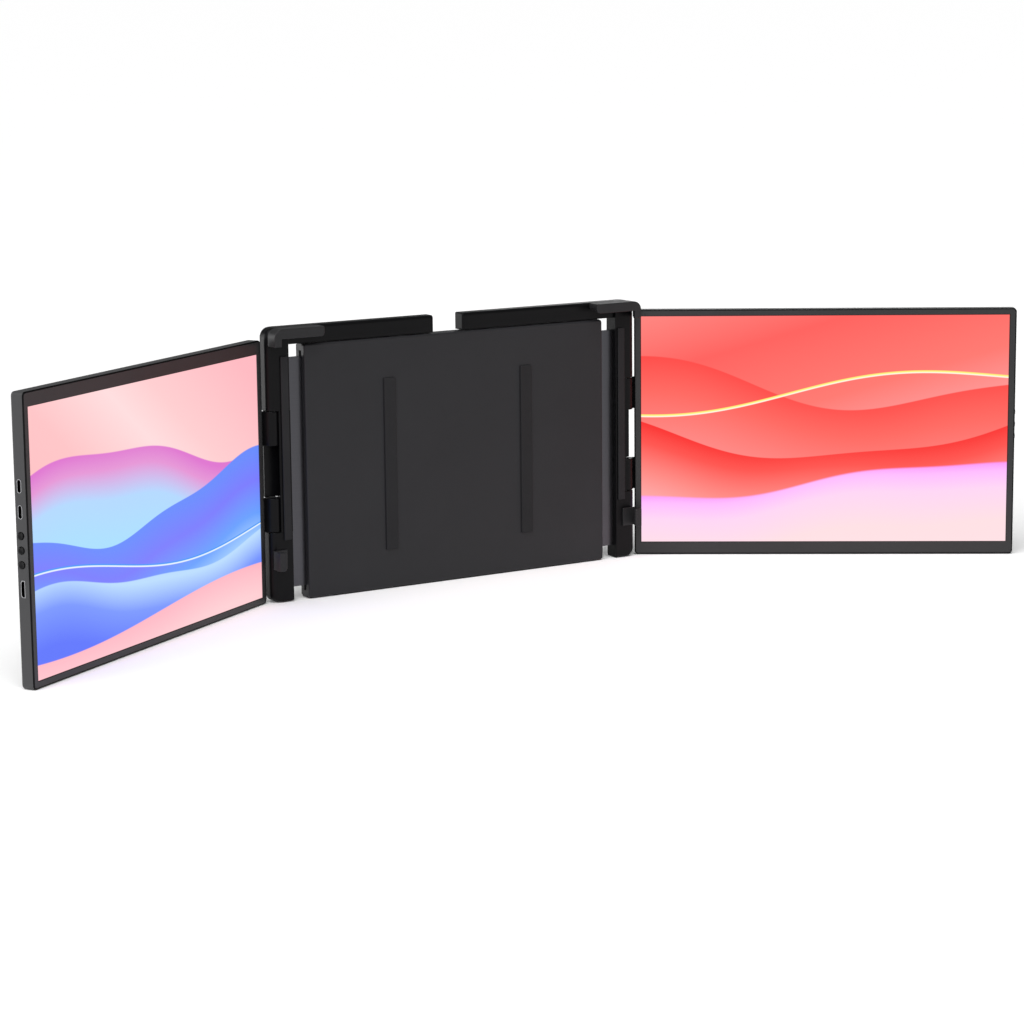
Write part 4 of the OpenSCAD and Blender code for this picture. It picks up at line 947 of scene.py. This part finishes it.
class EXTENDER_OT_centre(bpy.types.Operator):
    """Centre case with its lid pads, base strip and the slides inside"""

    bl_idname = "extender.centre"
    bl_label = "Centre Unit"
    bl_options = {"REGISTER", "UNDO"}

    def execute(self, context):
        size, tint = sizes(), colours()
        satin = moulded("case_black", tint.case, 0.44, 0.3, 1100.0, 0.04)
        soft = rubber("soft_rubber", tint.rubber)
        place = centre_place()
        self.front(place, size, satin)
        self.back(place, satin)
        self.pads(place, size, soft)
        s = Shader("slippery_white")
        dress(["slide_liners", "sync_gear"] + both("sync_rack"), s.finish(
            Base_Color=s.mix(s.noise(50.0), (0.60, 0.60, 0.56), (0.72, 0.72, 0.68)),
            Roughness=0.38))
        dress(both("slide_plate"),
              metal("dark_aluminium", (0.10, 0.10, 0.11), 0.34, (0.02, 1, 1), 1400.0))
        return {"FINISHED"}

    @staticmethod
    def front(place, size, satin):
        """A tray open to the back, with solid rims along its top and bottom. The bottom rim is
        low at a notch for the kickstand, and the rubber lies in pockets."""
        low, high = local_box("centre_front_shell", place)
        pad_low, pad_high = local_box("lid_pads", place)
        strip_low, strip_high = local_box("base_strip", place)
        wall, slot_y, rim, notch = 1.8 * MM, -1.8 * MM, 5 * MM, 47.6 * MM
        notch_y, pocket, gap, edge = 0.8 * MM, 0.8 * MM, 0.1 * MM, 0.2 * MM
        inset, depth = quarter(size.case_edge, 6)
        insets = np.concatenate([inset[::-1], [0, 2 * MM, 2 * MM]])
        depths = np.concatenate([low[1] + depth[::-1], [slot_y, slot_y, low[1] + wall]])
        surface = Surface(place).loft(outline(face(low, high)[None], CASE_CORNER, insets, 6),
                                      depths, "y")
        surface.block((low[0], slot_y - MM, high[2] - rim), high, edge)
        for x0, x1, rear in ((low[0], -notch, high[1]), (notch, high[0], high[1]),
                             (-notch - MM, notch + MM, notch_y)):
            surface.block((x0, slot_y - MM, low[2]), (x1, rear, low[2] + rim), edge)
        cutter = Surface(place)
        for x0, x1 in both_ends(pad_low[0], pad_high[0], PAD_WIDTH):
            cutter.block((x0 - gap, low[1] - MM, pad_low[2] - gap),
                         (x1 + gap, low[1] + pocket, pad_high[2] + gap), SHARP)
        cutter.block((strip_low[0], strip_low[1], low[2] - MM), strip_high, SHARP)
        surface.make("case_front", "centre_unit", "housing", satin, ["centre_front_shell"],
                     cutter)

    @staticmethod
    def back(place, satin):
        """The back cover, cut out for the kickstand, with the pocket's floor and walls let into
        it and a wall along each side of the case."""
        low, high = local_box("centre_back_cover", place)
        leg_high = local_box("kickstand_leg", place)[1]
        screw_low, screw_high = local_box("cover_screws", place)
        plate_y, half, top = high[1] - 1.8 * MM, leg_high[0] + 1.4 * MM, leg_high[2] + 0.6 * MM
        wall, floor_y, edge, rim = 1.2 * MM, 2 * MM, 0.1 * MM, 5 * MM
        corners = [[low[0], low[2]], [-half, low[2]], [-half, top], [half, top], [half, low[2]],
                   [high[0], low[2]], [high[0], high[2]], [low[0], high[2]]]
        mouth, inside = 0.6 * MM, 1.2 * MM
        radii = [CASE_CORNER, mouth, inside, inside, mouth, CASE_CORNER, CASE_CORNER, CASE_CORNER]
        surface = Surface(place)
        surface.plate(corners, radii, plate_y + 0.15 * MM, high[1], SHARP, 0.6 * MM)
        surface.block((-half - wall, floor_y - wall, low[2]), (half + wall, floor_y, top + wall),
                      edge)
        for x0, x1, z0 in ((-half - wall, -half, low[2]), (half, half + wall, low[2]),
                           (-half, half, top)):
            surface.block((x0, floor_y - 0.1 * MM, z0), (x1, plate_y + 0.5 * MM, top + wall),
                          edge)
        for x0, x1 in both_ends(low[0], high[0], 2 * MM):
            surface.block((x0, 1.8 * MM, low[2] + rim), (x1, plate_y + MM, high[2] - rim),
                          0.2 * MM)
        cutter = Surface(place)
        head, middle = 2.3 * MM, 60 * MM
        for x in (screw_low[0] + head, -middle, middle, screw_high[0] - head):
            for z in (screw_low[2] + head, screw_high[2] - head):
                cutter.rod((x, z), SEAT_RADIUS, (high[1] - SEAT_DEPTH, high[1] + MM), "y")
        surface.make("case_back", "centre_unit", "housing", satin, ["centre_back_cover"], cutter)

    @staticmethod
    def pads(place, size, soft):
        """Rubber pads behind the lid, the strip underneath and the grips on the side bars, all of
        them bars whose edges are quarter rounds."""
        low, high = local_box("lid_pads", place)
        pads = Surface(place)
        for x0, x1 in both_ends(low[0], high[0], PAD_WIDTH):
            pads.block((x0, low[1], low[2]), (x1, high[1], high[2]), size.rubber_edge)
        pads.make("lid_cushions", "centre_unit", "rubber", soft, ["lid_pads"])
        strip = Surface(place).block(*local_box("base_strip", place), size.rubber_edge)
        strip.make("base_cushion", "centre_unit", "rubber", soft, ["base_strip"])
        for side in SIDES:
            place = bracket_place(side)
            grip = Surface(place).block(*local_box(f"{side}_grip_pad", place), size.rubber_edge)
            grip.make(f"{side}_grip", f"{side}_bracket", "rubber", soft, [f"{side}_grip_pad"])


class EXTENDER_OT_kickstand(bpy.types.Operator):
    """Kickstand with its foot, pin and washers"""

    bl_idname = "extender.kickstand"
    bl_label = "Kickstand"
    bl_options = {"REGISTER", "UNDO"}

    def execute(self, context):
        size, tint = sizes(), colours()
        place = centre_place()
        self.leg(place, moulded("stand_black", tint.case, 0.40, 0.3, 1100.0, 0.04))
        foot = Surface(place).block(*local_box("kickstand_foot", place), size.rubber_edge)
        foot.make("stand_foot", "kickstand", "rubber", rubber("foot_rubber", tint.rubber),
                  ["kickstand_foot"])
        dress(["kickstand_pin", "gear_axle"], metal("axle_steel", (0.62, 0.62, 0.64), 0.28))
        dress(["kickstand_washers"], metal("washer_steel", (0.6, 0.56, 0.45), 0.4))
        return {"FINISHED"}

    @staticmethod
    def leg(place, satin):
        """A plate with a window: its profile, a flat wall with a quarter round at each face, is
        carried round the outline and back round the window. Two turned barrels sit on top, each
        on its block."""
        low, high = local_box("kickstand_leg", place)
        pivot = JOINTS["kickstand_hinge"]["pos_m"]
        thick, half, drop, edge = 3.2 * MM, 20 * MM, 2.6 * MM, 0.6 * MM
        under, over, gap = 26 * MM, 30 * MM, 0.1 * MM
        barrel, bore = 2.1 * MM, 1.25 * MM
        front = high[1] - thick
        outer = rectangle((low[0], low[2]), (high[0], pivot[2] - drop))
        window = rectangle((-half, low[2] + under), (half, pivot[2] - over))
        insets, depths = plate_profile(front, high[1], edge, edge, 4)
        rings = np.concatenate([outline(outer[None], 3 * MM, insets, 6),
                                outline(window[None], 4 * MM, -insets, 6)])
        surface = Surface(place).loft(rings, np.concatenate([depths, depths[::-1]]), "y",
                                      closed=True)
        for x0, x1 in ((low[0], -half), (half, high[0])):
            insets, depths = plate_profile(x0, x1, 0.3 * MM, 0.3 * MM, 3)
            surface.turned(pivot[1:], barrel - insets, depths, "x")
            surface.block((x0, front + gap, pivot[2] - 4 * MM),
                          (x1, high[1] - gap, pivot[2] - 0.2 * MM), 0.2 * MM)
        cutter = Surface(place).rod(pivot[1:], bore, (low[0] - MM, high[0] + MM), "x")
        surface.make("stand", "kickstand", "housing", satin, ["kickstand_leg"], cutter)


class EXTENDER_OT_fasteners(bpy.types.Operator):
    """Finish of all the screws"""

    bl_idname = "extender.fasteners"
    bl_label = "Fasteners"
    bl_options = {"REGISTER", "UNDO"}

    def execute(self, context):
        dress(["cover_screws"] + both("bracket_screws", "panel_screws"),
              metal("black_steel", (0.09, 0.09, 0.10), 0.36))
        return {"FINISHED"}


class EXTENDER_OT_stage(bpy.types.Operator):
    """Pale floor, soft lamps and the camera"""

    bl_idname = "extender.stage"
    bl_label = "Stage"
    bl_options = {"REGISTER", "UNDO"}

    def execute(self, context):
        scene = context.scene
        stage = scene.extender_stage
        scene.view_settings.view_transform = "Standard"
        self.floor(scene, stage.floor)
        self.room(scene, stage.room)
        self.key(scene, (-1.0, -1.1, 2.1), math.radians(70), stage.key_light)
        for name, at, size in (("side_lamp", (-2.2, -0.2, 0.8), (1.6, 0.9)),
                               ("back_lamp", (2.1, 2.0, 0.9), (1.4, 0.7)),
                               ("edge_lamp", (-0.72, 0.56, 0.22), (0.5, 0.5))):
            self.lamp(scene, name, at, size, getattr(stage, name))
        self.camera(scene)
        return {"FINISHED"}

    @staticmethod
    def floor(scene, lightness):
        """A flat sheet that reaches to the horizon."""
        reach = 400.0
        corners = [(*corner, 0) for corner in rectangle((-reach, -reach), (reach, reach))]
        mesh = bpy.data.meshes.new("floor")
        mesh.from_pydata(corners, [], [(0, 1, 2, 3)])
        s = Shader("pale_paper")
        light, dark = (lightness,) * 3, (0.99 * lightness,) * 3
        mesh.materials.append(s.finish(Base_Color=s.mix(s.noise(3.0), light, dark),
                                       Roughness=0.9, Specular_IOR_Level=0.1))
        floor = bpy.data.objects.new("floor", mesh)
        scene.collection.objects.link(floor)

    @staticmethod
    def room(scene, brightness):
        """Even surroundings that light the shadows a little."""
        world = bpy.data.worlds.new("room")
        world.use_nodes = True
        background = world.node_tree.nodes["Background"]
        background.inputs["Color"].default_value = (1.0, 1.0, 1.0, 1)
        background.inputs["Strength"].default_value = brightness
        scene.world = world

    @staticmethod
    def key(scene, towards, angle, strength):
        """A broad even light from far away, which lights the floor alike up to the horizon."""
        data = bpy.data.lights.new("key_light", "SUN")
        data.energy, data.angle = strength, angle
        key = bpy.data.objects.new("key_light", data)
        key.matrix_world = Vector(towards).to_track_quat("Z", "Y").to_matrix().to_4x4()
        scene.collection.objects.link(key)

    @staticmethod
    def lamp(scene, name, at, size, power):
        """A soft rectangular lamp that faces the middle of the object."""
        data = bpy.data.lights.new(name, "AREA")
        data.shape, data.size, data.size_y, data.energy = "RECTANGLE", *size, power
        lamp = bpy.data.objects.new(name, data)
        towards = Vector((0, 0, 0.1)) - Vector(at)
        turn = towards.to_track_quat("-Z", "Y").to_matrix().to_4x4()
        lamp.matrix_world = Matrix.Translation(at) @ turn
        scene.collection.objects.link(lamp)

    @staticmethod
    def camera(scene):
        """A long lens from the front left, a little above the displays."""
        turn, drop, roll = math.radians(-32.233), math.radians(10.129), math.radians(-0.588)
        at = (-1.14513, -1.89656, 0.44627)
        data = bpy.data.cameras.new("camera")
        data.lens, data.sensor_width = 103.86, 36.0
        camera = bpy.data.objects.new("camera", data)
        aim = (Matrix.Rotation(turn, 4, "Z") @ Matrix.Rotation(math.pi / 2 - drop, 4, "X")
               @ Matrix.Rotation(roll, 4, "Z"))
        camera.matrix_world = Matrix.Translation(at) @ aim
        scene.collection.objects.link(camera)
        scene.camera = camera


class EXTENDER_PT_panel(bpy.types.Panel):
    """Lists the extender's sizes, colours and operators"""

    bl_label = "Screen Extender"
    bl_space_type = "VIEW_3D"
    bl_region_type = "UI"
    bl_category = "Screen Extender"

    def draw(self, context):
        scene = context.scene
        for title, group in (("Sizes", scene.extender_sizes), ("Colours", scene.extender_colours),
                             ("Stage", scene.extender_stage)):
            box = self.layout.box()
            box.label(text=title)
            for name in group.__annotations__:
                box.prop(group, name)
        for operator in OPERATORS:
            self.layout.operator(operator.bl_idname)


GROUPS = {"extender_sizes": ExtenderSizes, "extender_colours": ExtenderColours,
          "extender_stage": ExtenderStage}
OPERATORS = (EXTENDER_OT_bars, EXTENDER_OT_clips, EXTENDER_OT_hinges, EXTENDER_OT_displays,
             EXTENDER_OT_ports, EXTENDER_OT_centre, EXTENDER_OT_kickstand,
             EXTENDER_OT_fasteners, EXTENDER_OT_stage)


def register():
    for kind in (*GROUPS.values(), *OPERATORS, EXTENDER_PT_panel):
        bpy.utils.register_class(kind)
    for name, group in GROUPS.items():
        setattr(bpy.types.Scene, name, PointerProperty(type=group))


def unregister():
    for name in GROUPS:
        delattr(bpy.types.Scene, name)
    for kind in (EXTENDER_PT_panel, *reversed(OPERATORS), *GROUPS.values()):
        bpy.utils.unregister_class(kind)


def main():
    """Builds the whole object in order."""
    register()
    for operator in OPERATORS:
        family, name = operator.bl_idname.split(".")
        getattr(getattr(bpy.ops, family), name)()


if __name__ == "__main__":
    main()
